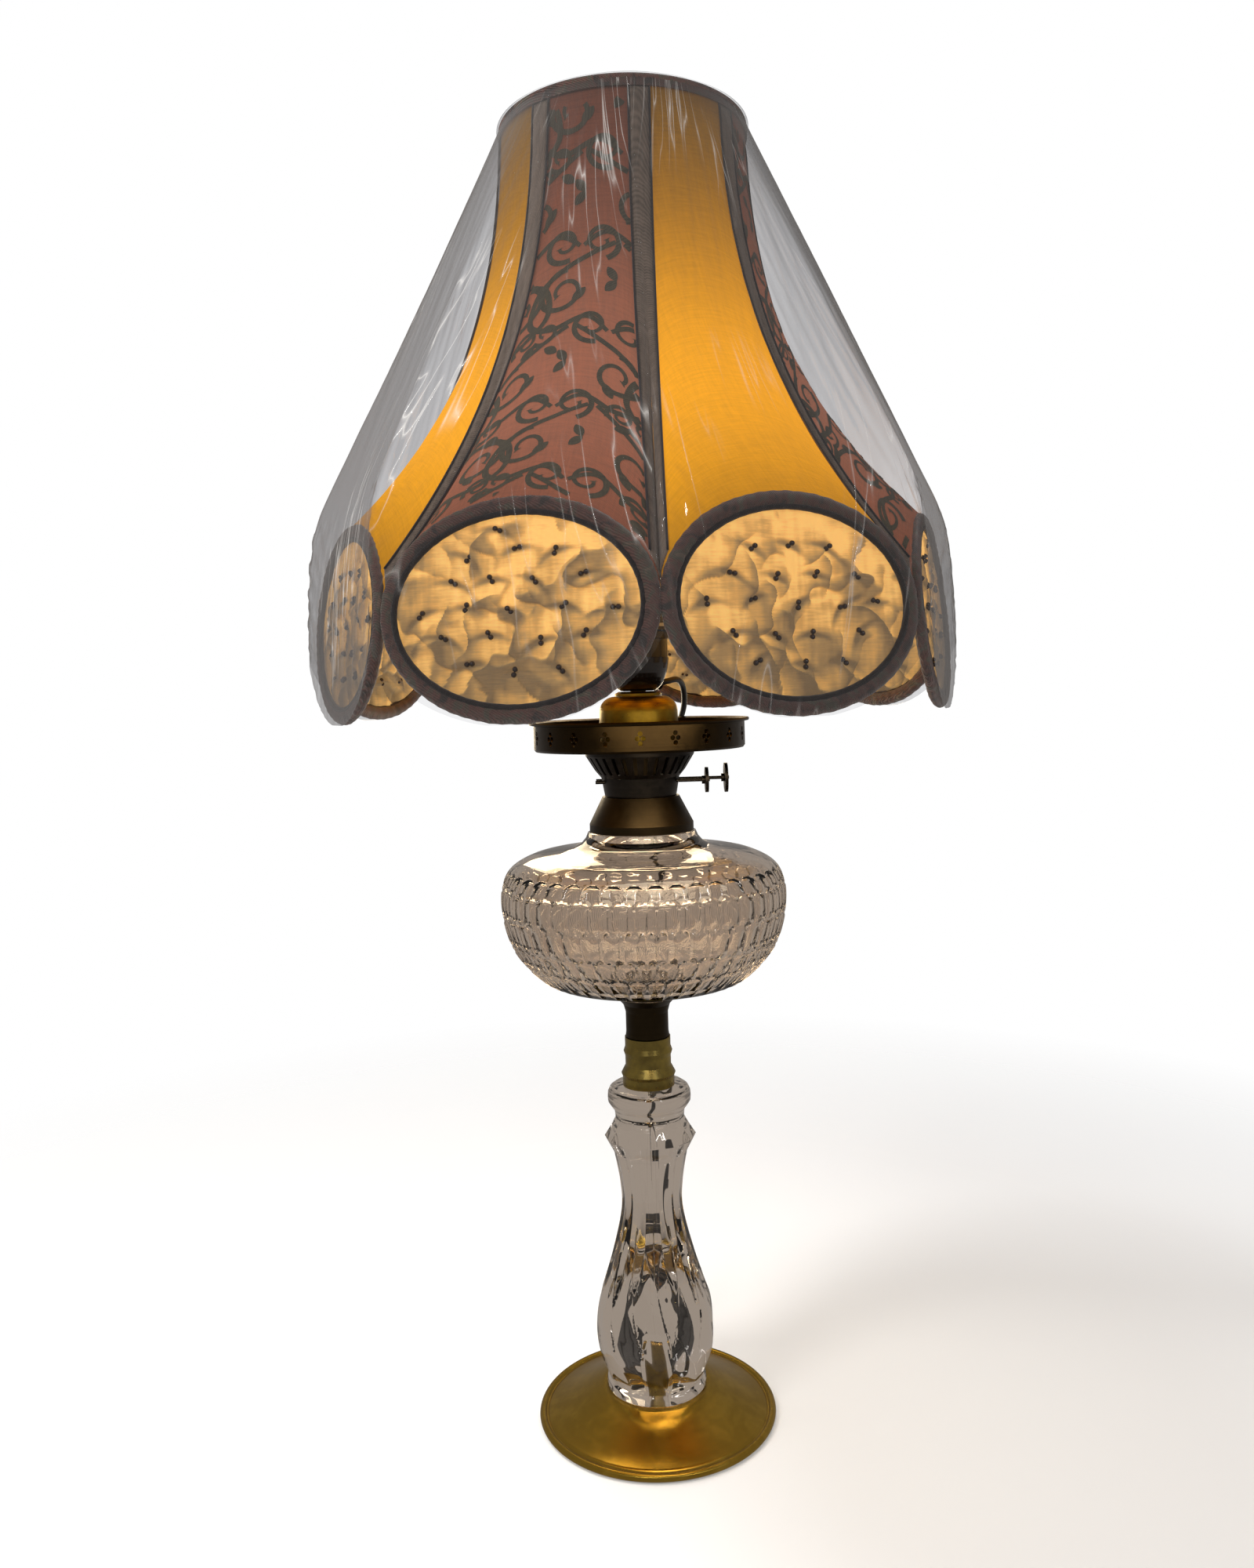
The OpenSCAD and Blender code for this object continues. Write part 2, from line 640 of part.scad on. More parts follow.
// The plug's own frame: +X along the cord, lying flat
module at_plug() {
    translate([plug_start[0], plug_start[1], plug_t / 2]) rotate(plug_heading) children();
}

module plug_body() {
    half = (plug_w - plug_t) / 2;
    color("#101010") at_plug() {
        rotate([0, 90, 0]) cylinder(h = plug_grip + 1, r = 4);
        translate([plug_grip, 0, 0]) rotate([0, 90, 0]) linear_extrude(plug_len) union() {
            square([plug_t, 2 * half], center = true);
            for (side = [-1, 1]) translate([0, side * half]) circle(r = plug_t / 2);
        }
    }
}

module plug_pins() {
    color("silver") at_plug() for (side = [-1, 1])
        translate([plug_grip + plug_len, side * pin_gap / 2, 0]) rotate([0, 90, 0])
            cylinder(h = pin_len, r = pin_r);
}

base_pad();
base_weight();
base_dish();
foot_bolt();
foot_washer();
foot_insert();
stem_glass();
stem_ferrule();
ferrule_stud();
font_ferrule();
font_glass();
collar_plaster();
font_collar();
burner_cup();
burner_basket();
wick_tubes();
spindle(-spindle_y, 44);  // front_spindle
thumb_disc(-spindle_y, 42, front_disc_r);  // front_thumb_disc
spur_wheels(-spindle_y);  // front_spur_wheels
spindle(spindle_y, 57.5);  // rear_spindle
thumb_disc(spindle_y, 55.5, rear_disc_r);  // rear_thumb_disc
spur_wheels(spindle_y);  // rear_spur_wheels
gallery_tray();
burner_dome();
dome_flange();
socket_nipple();
socket_locknut();
socket_cap();
cord_grommet();
socket_body();
screw_shell();
centre_contact();
shade_ring();
bulb_cap();
bulb_glass();
bulb_filament();
top_ring();
shade_ribs();
medallion_frames();
fitter_ring();
fitter_arms();
top_binding();
rib_bands();
gold_panels();
brocade_panels();
medallion(0);  // medallion_1
medallion(1);  // medallion_2
medallion(2);  // medallion_3
medallion(3);  // medallion_4
medallion(4);  // medallion_5
medallion(5);  // medallion_6
medallion(6);  // medallion_7
medallion(7);  // medallion_8
medallion_trims();
film_wrap();
cord_tube();
cord_coil();
plug_body();
plug_pins();
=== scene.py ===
"""Looks of the converted oil lamp: glass, brass, cloth, beads, clear film and cord round the CAD frame."""
import math
import random

import bpy
import numpy as np
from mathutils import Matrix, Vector, noise


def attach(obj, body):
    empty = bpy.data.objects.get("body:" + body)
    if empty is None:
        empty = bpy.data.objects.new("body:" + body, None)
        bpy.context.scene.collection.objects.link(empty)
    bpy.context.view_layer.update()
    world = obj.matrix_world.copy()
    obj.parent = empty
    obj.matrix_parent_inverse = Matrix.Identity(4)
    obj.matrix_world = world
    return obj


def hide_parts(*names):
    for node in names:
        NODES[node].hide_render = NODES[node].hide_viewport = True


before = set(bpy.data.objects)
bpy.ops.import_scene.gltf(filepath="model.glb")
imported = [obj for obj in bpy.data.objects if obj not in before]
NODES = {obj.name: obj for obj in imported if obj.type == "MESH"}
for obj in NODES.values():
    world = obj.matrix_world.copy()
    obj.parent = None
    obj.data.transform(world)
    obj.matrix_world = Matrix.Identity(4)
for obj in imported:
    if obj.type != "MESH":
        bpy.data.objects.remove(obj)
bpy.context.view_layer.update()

MM = 0.001

# ------------------------------ driving sizes, millimetres
STEM_TOP_Z = 209
FONT_Z = 266
GLASS_PEG_R = 11.8
SHADE_TOP_R = 79.5
SHADE_TOP_Z = 819
V_R = 200
MEDALLION_Z = 503.5
MEDALLION_HALF_H = 56.5
LEAN = math.radians(4)
FRONT_RIB = math.radians(3)
RIB_TWIST = math.radians(4)
SIDES = 8
STEP = 2 * math.pi / SIDES
MEDALLION_D = V_R * math.cos(STEP / 2)
TRIM_HALF_W = 4.5
EDGE_A = V_R * math.sin(STEP / 2) - 0.35
EDGE_B = MEDALLION_HALF_H + 0.4
WIRE_A = EDGE_A - TRIM_HALF_W - 0.4
WIRE_B = MEDALLION_HALF_H - TRIM_HALF_W
PANEL_TOP_R = SHADE_TOP_R - 1.5
PANEL_TOP_Z = SHADE_TOP_Z - 5
BINDING_H = 8
TRIM_OUT = 1.1
TRIM_SECTION = (4.4, 3.3)
PIPING_IN = 2.9
PIPING_R = 1.7
BAND_W = 12
BAND_COLUMNS = (-1, -0.6, -0.25, 0, 0.25, 0.6, 1)
PANEL_SIDE = [(PANEL_TOP_R, PANEL_TOP_Z), (PANEL_TOP_R + 2, 700), (118, 601),
              (math.hypot(MEDALLION_D, EDGE_A), MEDALLION_Z)]
BULB_Z = 560
GLOW_REACH = 0.13  # metres
STEM_FLUTES = 12
STEM_NECK_Z = 168
STEM_ARCH_Z = (52, 92)
FONT_ROWS = [277, 290, 302, 320, 338, 347]
FONT_CELLS = 44
FONT_SCOOP = 2.0
FONT_TONGUE = 5

FLOOR_R = 1.2  # metres

CORD_D = 4
CORD_ROUTE = [
    (14, 12, 466), (20, 17, 467), (26, 27, 468), (30, 40, 465), (32, 52, 458), (32, 64, 449),
    (29, 74, 437), (24, 84, 415), (19, 91, 385), (14, 94, 350), (10, 94, 320), (6, 94, 280),
    (3, 94, 240), (0, 94, 200), (-4, 93, 160), (-8, 92, 120), (-13, 90, 80), (-17, 88, 45),
    (-18, 88, 30), (-16, 88, 20), (-10, 88, 13), (0, 88, 10)]
COIL_Y = 108
COIL_TURNS = [(20, 10), (24, 10), (28, 10), (28, 6), (24, 6), (20, 6), (20, 2), (24, 2), (28, 2)]
TAIL_TURN = math.radians(30)
PLUG_START = (13, 141, 7)
PLUG_HEADING = math.radians(120)


# ------------------------------ camera, light and floor
def add_object(name, data):
    obj = bpy.data.objects.new(name, data)
    bpy.context.scene.collection.objects.link(obj)
    return obj


def make_camera():
    cam = add_object("camera", bpy.data.cameras.new("camera"))
    cam.data.sensor_width = 36
    cam.data.lens = 28.2
    cam.data.shift_y = -0.0595
    cam.location = (-0.007, -0.788, 0.4614)
    cam.rotation_euler = (math.radians(90), math.radians(1.6), 0)
    bpy.context.scene.camera = cam


def area_light(name, place, target, size, power, color=(1, 1, 1), mirrored=True):
    light = bpy.data.lights.new(name, "AREA")
    light.shape = "RECTANGLE"
    light.size, light.size_y = size
    light.energy = power
    light.color = color
    obj = add_object(name, light)
    obj.location = place
    obj.visible_camera = False
    obj.visible_glossy = obj.visible_transmission = mirrored
    obj.rotation_euler = (Vector(target) - obj.location).to_track_quat("-Z", "Y").to_euler()


def make_lights():
    """Soft studio lights, narrow ones that glass and film mirror, and two warm ones below the shade."""
    area_light("key", (-1.3, -1.2, 1.7), (0, 0, 0.4), (0.7, 0.9), 24, (1, 0.97, 0.93), False)
    area_light("fill", (1.6, -1.1, 1.1), (0, 0, 0.4), (0.35, 1.2), 7, (0.95, 0.97, 1), False)
    area_light("glint", (0.95, -1.45, 1.25), (0, 0, 0.3), (0.05, 0.6), 2.2)
    area_light("strip", (-0.35, -1.7, 1.5), (0, 0, 0.55), (0.06, 0.9), 4)
    area_light("bulb_spill", (0.02, -0.14, 0.43), (0, -0.04, 0), (0.13, 0.13), 0.32, (1, 0.84, 0.6))
    area_light("under_shade", (-0.03, 0.16, 0.435), (0, -0.05, 0), (0.2, 0.12), 0.35, (1, 0.82, 0.55))
    area_light("top", (-0.85, 0.1, 1.9), (0.05, 0, 0.2), (0.45, 0.45), 22, (1, 1, 1), False)
    area_light("back", (0.9, 1.6, 1.5), (0, 0, 0.4), (0.9, 0.9), 7, (1, 1, 1), False)


def make_world():
    """White behind the lamp, a warm dim room for light and reflections, a browner one through glass."""
    world = bpy.data.worlds.new("studio")
    bpy.context.scene.world = world
    bpy.context.scene.view_settings.view_transform = "Standard"
    world.use_nodes = True
    tree = world.node_tree
    tree.nodes.clear()
    path = tree.nodes.new("ShaderNodeLightPath")

    def background(color, strength):
        n = tree.nodes.new("ShaderNodeBackground")
        n.inputs[0].default_value = (*color, 1)
        n.inputs[1].default_value = strength
        return n.outputs[0]

    def either(ray, other, chosen):
        n = tree.nodes.new("ShaderNodeMixShader")
        for socket, value in zip(n.inputs, (path.outputs[ray], other, chosen)):
            tree.links.new(value, socket)
        return n.outputs[0]

    room = background((1, 0.93, 0.87), 0.3)
    glassy = either("Is Transmission Ray", room, background((1, 0.87, 0.74), 0.34))
    seen = either("Is Camera Ray", glassy, background((1, 1, 1), 1.0))
    tree.links.new(seen, tree.nodes.new("ShaderNodeOutputWorld").inputs[0])


# ------------------------------ materials
class Shader:
    """A node material under construction. Inputs are set from numbers, colours or other sockets."""

    def __init__(self, name):
        self.material = bpy.data.materials.new(name)
        self.material.use_nodes = True
        self.tree = self.material.node_tree
        self.tree.nodes.clear()
        self.out = self.tree.nodes.new("ShaderNodeOutputMaterial")

    def put(self, socket, value):
        if isinstance(value, bpy.types.NodeSocket):
            self.tree.links.new(value, socket)
        elif isinstance(value, tuple) and len(value) == 3 and socket.type == "RGBA":
            socket.default_value = (*value, 1)
        else:
            socket.default_value = value

    def node(self, kind, inputs=None, out=0, **settings):
        n = self.tree.nodes.new("ShaderNode" + kind)
        for key, value in settings.items():
            setattr(n, key, value)
        for key, value in (inputs or {}).items():
            self.put(n.inputs[key], value)
        return n.outputs[out]

    def math(self, operation, a, b=0.0, c=0.0, clamp=False):
        return self.node("Math", {0: a, 1: b, 2: c}, operation=operation, use_clamp=clamp)

    def plus(self, a, b):
        return self.math("ADD", a, b)

    def minus(self, a, b):
        return self.math("SUBTRACT", a, b)

    def times(self, a, b):
        return self.math("MULTIPLY", a, b)

    def mix(self, factor, a, b, blend="MIX"):
        n = self.tree.nodes.new("ShaderNodeMix")
        n.data_type, n.blend_type = "RGBA", blend
        self.put(n.inputs[0], factor)
        self.put(n.inputs[6], a)
        self.put(n.inputs[7], b)
        return n.outputs[2]

    def ramp(self, value, stops):
        n = self.tree.nodes.new("ShaderNodeValToRGB")
        self.put(n.inputs[0], value)
        bar = n.color_ramp.elements
        for i, (place, color) in enumerate(stops):
            e = bar[i] if i < 2 else bar.new(place)
            e.position = place
            e.color = (*color, 1) if len(color) == 3 else (color[0],) * 3 + (1,)
        return n.outputs[0]

    def place(self, scale=(1, 1, 1), turn=(0, 0, 0), kind="Object"):
        coord = self.node("TexCoord", out={"Object": 3, "UV": 2}[kind])
        if any(turn):
            coord = self.node("Mapping", {"Vector": coord, "Rotation": turn})
        return self.node("Mapping", {"Vector": coord, "Scale": scale})

    def noise(self, vector, scale, detail=3.0, rough=0.5, twist=0.0):
        return self.node("TexNoise", {"Vector": vector, "Scale": scale, "Detail": detail,
                                      "Roughness": rough, "Distortion": twist})

    def bump(self, height, strength, distance):
        return self.node("Bump", {"Height": height, "Strength": strength, "Distance": distance})

    def surface(self, **inputs):
        named = {key.replace("_", " "): value for key, value in inputs.items()}
        return self.node("BsdfPrincipled", named)

    def finish(self, shader):
        self.put(self.out.inputs[0], shader)
        return self.material


def brass(name, light, dark, rough, groove, tarnish=0.5, seed=0.0, brushed=0.0):
    """Spun or turned brass: fine grooves round the axis, patches of tarnish and worn roughness."""
    s = Shader(name)
    where = s.place()
    x, y, z = s.node("SeparateXYZ", {0: where}).node.outputs
    radius = s.math("SQRT", s.plus(s.times(x, x), s.times(y, y)))
    rings = s.node("CombineXYZ", {0: radius, 1: z, 2: seed})
    fine = s.noise(rings, 2600, 2)
    broad = s.noise(rings, 380, 2)
    stain = s.noise(where, 38, 5, 0.62, 0.4)
    worn = s.noise(where, 210, 4, 0.6)
    patch = s.ramp(s.plus(s.times(stain, 0.75), s.times(worn, 0.25)),
                   [(0.5 - 0.28 * tarnish, (0,)), (0.62 + 0.1 * tarnish, (1,))])
    color = s.mix(patch, dark, light)
    color = s.mix(s.times(broad, 0.35), color, tuple(0.55 * c for c in dark))
    roughness = s.plus(rough, s.times(s.minus(worn, 0.5), 0.06 + 0.3 * tarnish))
    height = s.plus(fine, s.times(broad, 0.8))
    along = s.node("Tangent", direction_type="RADIAL", axis="Z")
    return s.finish(s.surface(Base_Color=color, Metallic=1.0, Roughness=roughness, Anisotropic=brushed,
                              Tangent=along, Normal=s.bump(height, groove, 0.0002)))


def cloth(name, light, dark, thread, glow=0.0, glow_color=(1, 0.5, 0.1), translucent=0.35, sheen=0.3,
          kind="UV"):
    """Woven cloth: crossing threads, slubs and, near the bulb, a warm painted glow: emission that stands in
    for the bulb's light shining through.
    """
    s = Shader(name)
    where = s.place(kind=kind)
    warp, weft = (s.node("TexWave", {"Vector": where, "Scale": 0.5 / thread, "Distortion": 0.6,
                                     "Detail": 2.0, "Detail Scale": 1.5}, out=1, bands_direction=way)
                  for way in "XY")
    slub = s.noise(s.place((60, 700, 60), kind=kind), 1, 4, 0.7)
    slub_up = s.noise(s.place((520, 40, 60), (0, 0, 0.12), kind=kind), 1, 4, 0.7)
    tone = s.noise(s.place(kind="Object"), 24, 3, 0.55)
    weave = s.times(s.plus(warp, weft), 0.5)
    shade = s.plus(s.times(weave, 0.3), s.times(slub, 0.45))
    shade = s.plus(shade, s.times(slub_up, 0.35))
    color = s.mix(s.ramp(shade, [(0.4, (0,)), (0.68, (1,))]), dark, light)
    color = s.mix(s.times(tone, 0.3), color, dark)
    height = s.plus(weave, s.times(slub, 0.8))
    normal = s.bump(height, 0.5, 0.0004)
    body = s.surface(Base_Color=color, Roughness=0.78, Normal=normal, Sheen_Weight=sheen,
                     Sheen_Roughness=0.4, Specular_IOR_Level=0.2)
    through = s.node("BsdfTranslucent", {"Color": color, "Normal": normal})
    both = s.node("MixShader", {0: translucent, 1: body, 2: through})
    # painted glow: emission, strongest near the bulb, stands in for the bulb's light shining through the
    # cloth
    if glow:
        lift = near_bulb(s)
        painted_glow = s.mix(0.8, glow_color, color, "MULTIPLY")
        light_out = s.node("Emission", {"Color": painted_glow, "Strength": s.times(lift, glow)})
        both = s.node("AddShader", {0: both, 1: light_out})
    return s.finish(both)


def near_bulb(s):
    """Strength of the painted glow: 1 beside the bulb, falling with distance from it, measured in the lamp's
    own space.
    """
    where = s.place()
    away = s.node("VectorMath", {0: where, 1: (0, 0, (BULB_Z + 4) * MM)}, operation="DISTANCE", out=1)
    near = s.math("DIVIDE", away, GLOW_REACH)
    return s.math("POWER", 2.718, s.times(s.times(near, near), -1.0))


def clear_glass(name, tint):
    s = Shader(name)
    ripple = s.noise(s.place((1, 1, 0.35)), 55, 2, 0.5)
    return s.finish(s.surface(Base_Color=tint, Roughness=0.015, IOR=1.5, Transmission_Weight=1.0,
                              Normal=s.bump(ripple, 0.25, 0.0006)))


def plain(name, color, rough, metallic=0.0, grain=600, strength=0.15, coat=0.0):
    s = Shader(name)
    where = s.place()
    fine = s.noise(where, grain, 3, 0.6)
    broad = s.noise(where, grain / 14, 3, 0.6)
    shade = s.mix(s.times(broad, 0.5), color, tuple(0.6 * c for c in color))
    roughness = s.plus(rough - 0.08, s.times(broad, 0.16))
    return s.finish(s.surface(Base_Color=shade, Roughness=roughness, Metallic=metallic,
                              Coat_Weight=coat, Normal=s.bump(fine, strength, 0.0002)))


def film_material():
    """Clear stretched film: slightly smoky, greyer where seen edge-on, with taut lines painted white as
    highlights and bumped so its gloss catches them.
    """
    s = Shader("clear_film")

    def lines(turn, across, along, sharp):
        field = s.noise(s.place((across, along, 1), (0, 0, turn), kind="UV"), 1, 2, 0.5)
        off = s.math("ABSOLUTE", s.minus(field, 0.5))
        ridge = s.minus(1.0, s.times(off, 2.0))
        return s.math("POWER", ridge, sharp)

    where = s.noise(s.place((9, 5, 1), kind="UV"), 1, 2)
    one = s.times(lines(0.14, 80, 5, 80), s.ramp(where, [(0.54, (0,)), (0.68, (1,))]))
    other = s.times(lines(-0.16, 80, 5, 80), s.ramp(where, [(0.34, (1,)), (0.46, (0,))]))
    taut = s.math("ADD", one, other, clamp=True)
    soft = s.noise(s.place((40, 6, 1), (0, 0, 0.1), kind="UV"), 1, 3, 0.6)
    normal = s.bump(s.plus(taut, s.times(soft, 1.4)), 0.5, 0.0014)
    facing = s.node("LayerWeight", {"Blend": 0.5}, out=1)
    edge = s.times(s.math("POWER", facing, 1.8), 0.72)
    clear = s.node("BsdfTransparent", {"Color": s.mix(facing, (0.95, 0.95, 0.96), (0.58, 0.58, 0.59))})
    veil = s.node("BsdfDiffuse", {"Color": (0.13, 0.125, 0.125)})
    painted_highlight = s.node("BsdfDiffuse", {"Color": (0.95, 0.93, 0.9)})
    gloss = s.node("BsdfGlossy", {"Color": (1, 1, 1), "Roughness": 0.06, "Normal": normal})
    mirror = s.plus(s.times(s.math("POWER", facing, 3.0), 0.3), 0.04)
    body = s.node("MixShader", {0: edge, 1: clear, 2: veil})
    # painted highlight: the taut lines are mixed towards a white diffuse colour
    body = s.node("MixShader", {0: s.times(taut, 0.5), 1: body, 2: painted_highlight})
    return s.finish(s.node("MixShader", {0: mirror, 1: body, 2: gloss}))


# ------------------------------ mesh helpers
def smooth_line(points, steps):
    """A smooth line through every point, steps stretches between each two."""
    p = np.array(points, float)
    grown = np.vstack([p[0], p, p[-1]])
    line = []
    for i in range(1, len(grown) - 2):
        a, b, c, d = grown[i - 1:i + 3]
        for j in range(steps):
            t = j / steps
            line.append(0.5 * (2 * b + t * (c - a) + t * t * (2 * a - 5 * b + 4 * c - d)
                               + t ** 3 * (3 * b - a - 3 * c + d)))
    return np.array(line + [p[-1]])


def bezier(p, t):
    p = np.array(p, float)
    return (1 - t) ** 3 * p[0] + 3 * t * (1 - t) ** 2 * p[1] + 3 * t * t * (1 - t) * p[2] + t ** 3 * p[3]


def arc(center, radius, a0, a1, steps):
    angles = np.radians(np.linspace(a0, a1, steps + 1))
    return [(center[0] + radius * math.cos(a), center[1] + radius * math.sin(a)) for a in angles]


def piece(name, verts, faces, material, body, replaces=(), uv=None):
    """A mesh object from points in millimetres that rides on a body and may stand for CAD nodes."""
    mesh = bpy.data.meshes.new(name)
    mesh.from_pydata([tuple(c * MM for c in v) for v in verts], [], [tuple(f) for f in faces])
    if uv is not None:
        layer = mesh.uv_layers.new(name="cloth")
        for loop in mesh.loops:
            layer.data[loop.index].uv = uv[loop.vertex_index]
    mesh.validate()
    mesh.polygons.foreach_set("use_smooth", [True] * len(mesh.polygons))
    mesh.materials.append(material)
    obj = add_object(name, mesh)
    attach(obj, body)
    if replaces:
        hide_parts(*replaces)
    return obj


def turn_angles(n):
    """n angles evenly spaced round a full turn, in radians."""
    return [2 * math.pi * j / n for j in range(n)]


def grid_faces(rows, cols, wrap_rows=False, wrap_cols=False):
    """Four-sided faces over a grid of points, row by row."""
    faces = []
    for i in range(rows - (0 if wrap_rows else 1)):
        for j in range(cols - (0 if wrap_cols else 1)):
            a, b = i * cols + j, i * cols + (j + 1) % cols
            c, d = (i + 1) % rows * cols + j, (i + 1) % rows * cols + (j + 1) % cols
            faces.append((a, b, d, c))
    return faces


def bar_faces(rows, cols):
    """Faces round a bar of rows of points, with both ends closed."""
    ends = [tuple(range(cols))[::-1], tuple((rows - 1) * cols + j for j in range(cols))]
    return grid_faces(rows, cols, False, True) + ends


def turned(name, outline, material, body, replaces=(), sides=128, shape=None):
    """A closed outline turned on the lathe. shape(angle, r, z) moves points that have a third value."""
    verts = []
    for r, z, *cut in outline:
        for a in turn_angles(sides):
            rr = shape(a, r, z) if shape and cut else r
            verts.append((rr * math.cos(a), rr * math.sin(a), z))
    obj = piece(name, verts, grid_faces(len(outline), sides, True, True), material, body, replaces)
    sharpen(obj)
    return obj


def sharpen(obj, angle=35):
    """Keeps edges sharper than angle crisp under smooth shading."""
    mesh = obj.data
    mesh.update()
    normals = [p.normal.copy() for p in mesh.polygons]
    owners = {}
    for p in mesh.polygons:
        for key in p.edge_keys:
            owners.setdefault(key, []).append(p.index)
    limit = math.cos(math.radians(angle))
    for e in mesh.edges:
        near = owners.get(tuple(sorted(e.vertices)), [])
        if len(near) == 2 and normals[near[0]].dot(normals[near[1]]) < limit:
            e.use_edge_sharp = True


def tube(name, path, radius, material, body, sides):
    """A round bar along path with flat ends."""
    path = np.array(path, float)
    n = len(path)
    verts = []
    side = np.array([0.0, 0.0, 1.0])
    for i in range(n):
        ahead, behind = path[min(n - 1, i + 1)], path[max(0, i - 1)]
        along = (ahead - behind) / np.linalg.norm(ahead - behind)
        if abs(side @ along) > 0.98:
            side = np.array([1.0, 0.0, 0.0])
        side = side - (side @ along) * along
        side /= np.linalg.norm(side)
        other = np.cross(along, side)
        for g in turn_angles(sides):
            verts.append(path[i] + radius * (math.cos(g) * side + math.sin(g) * other))
    return piece(name, verts, bar_faces(n, sides), material, body)


def fbm(x, y, z, octaves=3):
    return noise.fractal(Vector((x, y, z)), 1.0, 2.0, octaves)


# ------------------------------ cord and plug
def cord_path():
    """The whole centreline: the free run, the turns of the coil, and the tail to the plug."""
    line = [tuple(p) for p in smooth_line(CORD_ROUTE, 8)]
    per_turn = 48
    first = -math.pi / 2
    whole = len(COIL_TURNS) - 1
    last = first + 2 * math.pi * whole + (TAIL_TURN - first) % (2 * math.pi)
    count = int((last - first) / (2 * math.pi) * per_turn)
    for i in range(1, count + 1):
        a = first + (last - first) * i / count
        turn = (a - first) / (2 * math.pi)
        k = min(int(turn), whole)
        blend = max(0.0, (turn - k - 0.8) / 0.2)
        blend = blend * blend * (3 - 2 * blend) if k < whole else 0
        r0, z0 = COIL_TURNS[k]
        r1, z1 = COIL_TURNS[min(k + 1, whole)]
        r, z = r0 + (r1 - r0) * blend, z0 + (z1 - z0) * blend
        line.append((r * math.cos(a), COIL_Y + r * math.sin(a), z))
    end = np.array(line[-1])
    middle = (end + np.array(PLUG_START)) / 2 - (0, 0, 1)
    return line + [tuple(p) for p in smooth_line([end, middle, PLUG_START], 6)[1:]]


def make_cord(rubber, pin_metal):
    line = cord_path()
    curve = bpy.data.curves.new("cord", "CURVE")
    curve.dimensions = "3D"
    curve.bevel_depth = CORD_D / 2 * MM
    curve.bevel_resolution = 3
    curve.use_fill_caps = True
    spline = curve.splines.new("POLY")
    spline.points.add(len(line) - 1)
    for point, p in zip(spline.points, line):
        point.co = (p[0] * MM, p[1] * MM, p[2] * MM, 1)
    curve.materials.append(rubber)
    cord = add_object("cord", curve)
    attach(cord, "stand")
    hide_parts("cord_tube", "cord_coil")
    plug = make_plug(rubber)
    paint(pin_metal, "plug_pins")


def make_plug(rubber):
    """A flat two-pin plug: ribbed strain relief, waist and rounded body."""
    sections = []
    for i in range(13):
        ridge = 0.5 if i % 2 else 0.0
        sections.append((i, 2.6 + 0.13 * i + ridge, 2.6 + 0.1 * i + ridge))
    sections += [(14, 6, 5), (17, 10.5, 6), (21, 14.5, 6.6), (26, 17, 6.8), (34, 17.6, 6.85),
                 (40.5, 17.4, 6.7), (42, 16.4, 5.8)]
    cols = 40
    verts, base = [], np.array([PLUG_START[0], PLUG_START[1], 6.85])
    along = np.array([math.cos(PLUG_HEADING), math.sin(PLUG_HEADING), 0])
    side = np.array([-along[1], along[0], 0])
    for x, w, t in sections:
        for g in turn_angles(cols):
            c, s = math.cos(g), math.sin(g)
            u = math.copysign(abs(c) ** 0.55, c) * w
            v = math.copysign(abs(s) ** 0.7, s) * t
            verts.append(base + x * along + u * side + (0, 0, v))
    plug = piece("plug", verts, bar_faces(len(sections), cols), rubber, "stand", ("plug_body",))
    sharpen(plug, 50)
    return plug


# ------------------------------ glass
def stem_radius(a, r, z):
    """Concave flutes up the baluster that end in pointed arches round its bulb, over slanted facets."""
    turn = a * STEM_FLUTES / (2 * math.pi)
    off = 2 * abs(turn % 1.0 - 0.5)
    scoop = 1 - off ** 1.6
    if z > STEM_NECK_Z:
        return r - 0.9 * scoop
    low, high = STEM_ARCH_Z
    arch = high - (high - low) * (1 - off)
    ease = min(1.0, max(0.0, (z - 27) / 10))
    if z > arch:
        return r - ease * 1.1 * scoop
    slant = 2 * abs((turn * 0.75 + (z - 30) / 46) % 1.0 - 0.5)
    return r - ease * 0.9 * (1 - slant ** 1.5)


def font_radius(a, r, z):
    """Rows of tongue-shaped scoops round the font, each row set half a cell from the next."""
    if not FONT_ROWS[0] < z < FONT_ROWS[-1] + 2.5 or r < 50:
        return r
    turn = a * FONT_CELLS / (2 * math.pi)

    def aside(k):
        return 2 * abs((turn + 0.5 * (k % 2)) % 1.0 - 0.5)

    def top(k):
        return FONT_ROWS[k + 1] + FONT_TONGUE * (math.sqrt(max(0.0, 1 - aside(k) ** 2)) - 0.5)

    for k in range(len(FONT_ROWS) - 1):
        low, high = (top(k - 1) if k else FONT_ROWS[0]), top(k)
        if low <= z < high:
            v = abs(2 * (z - low) / (high - low) - 1)
            return r - FONT_SCOOP * (1 - max(aside(k) ** 2.2, v ** 5))
    return r


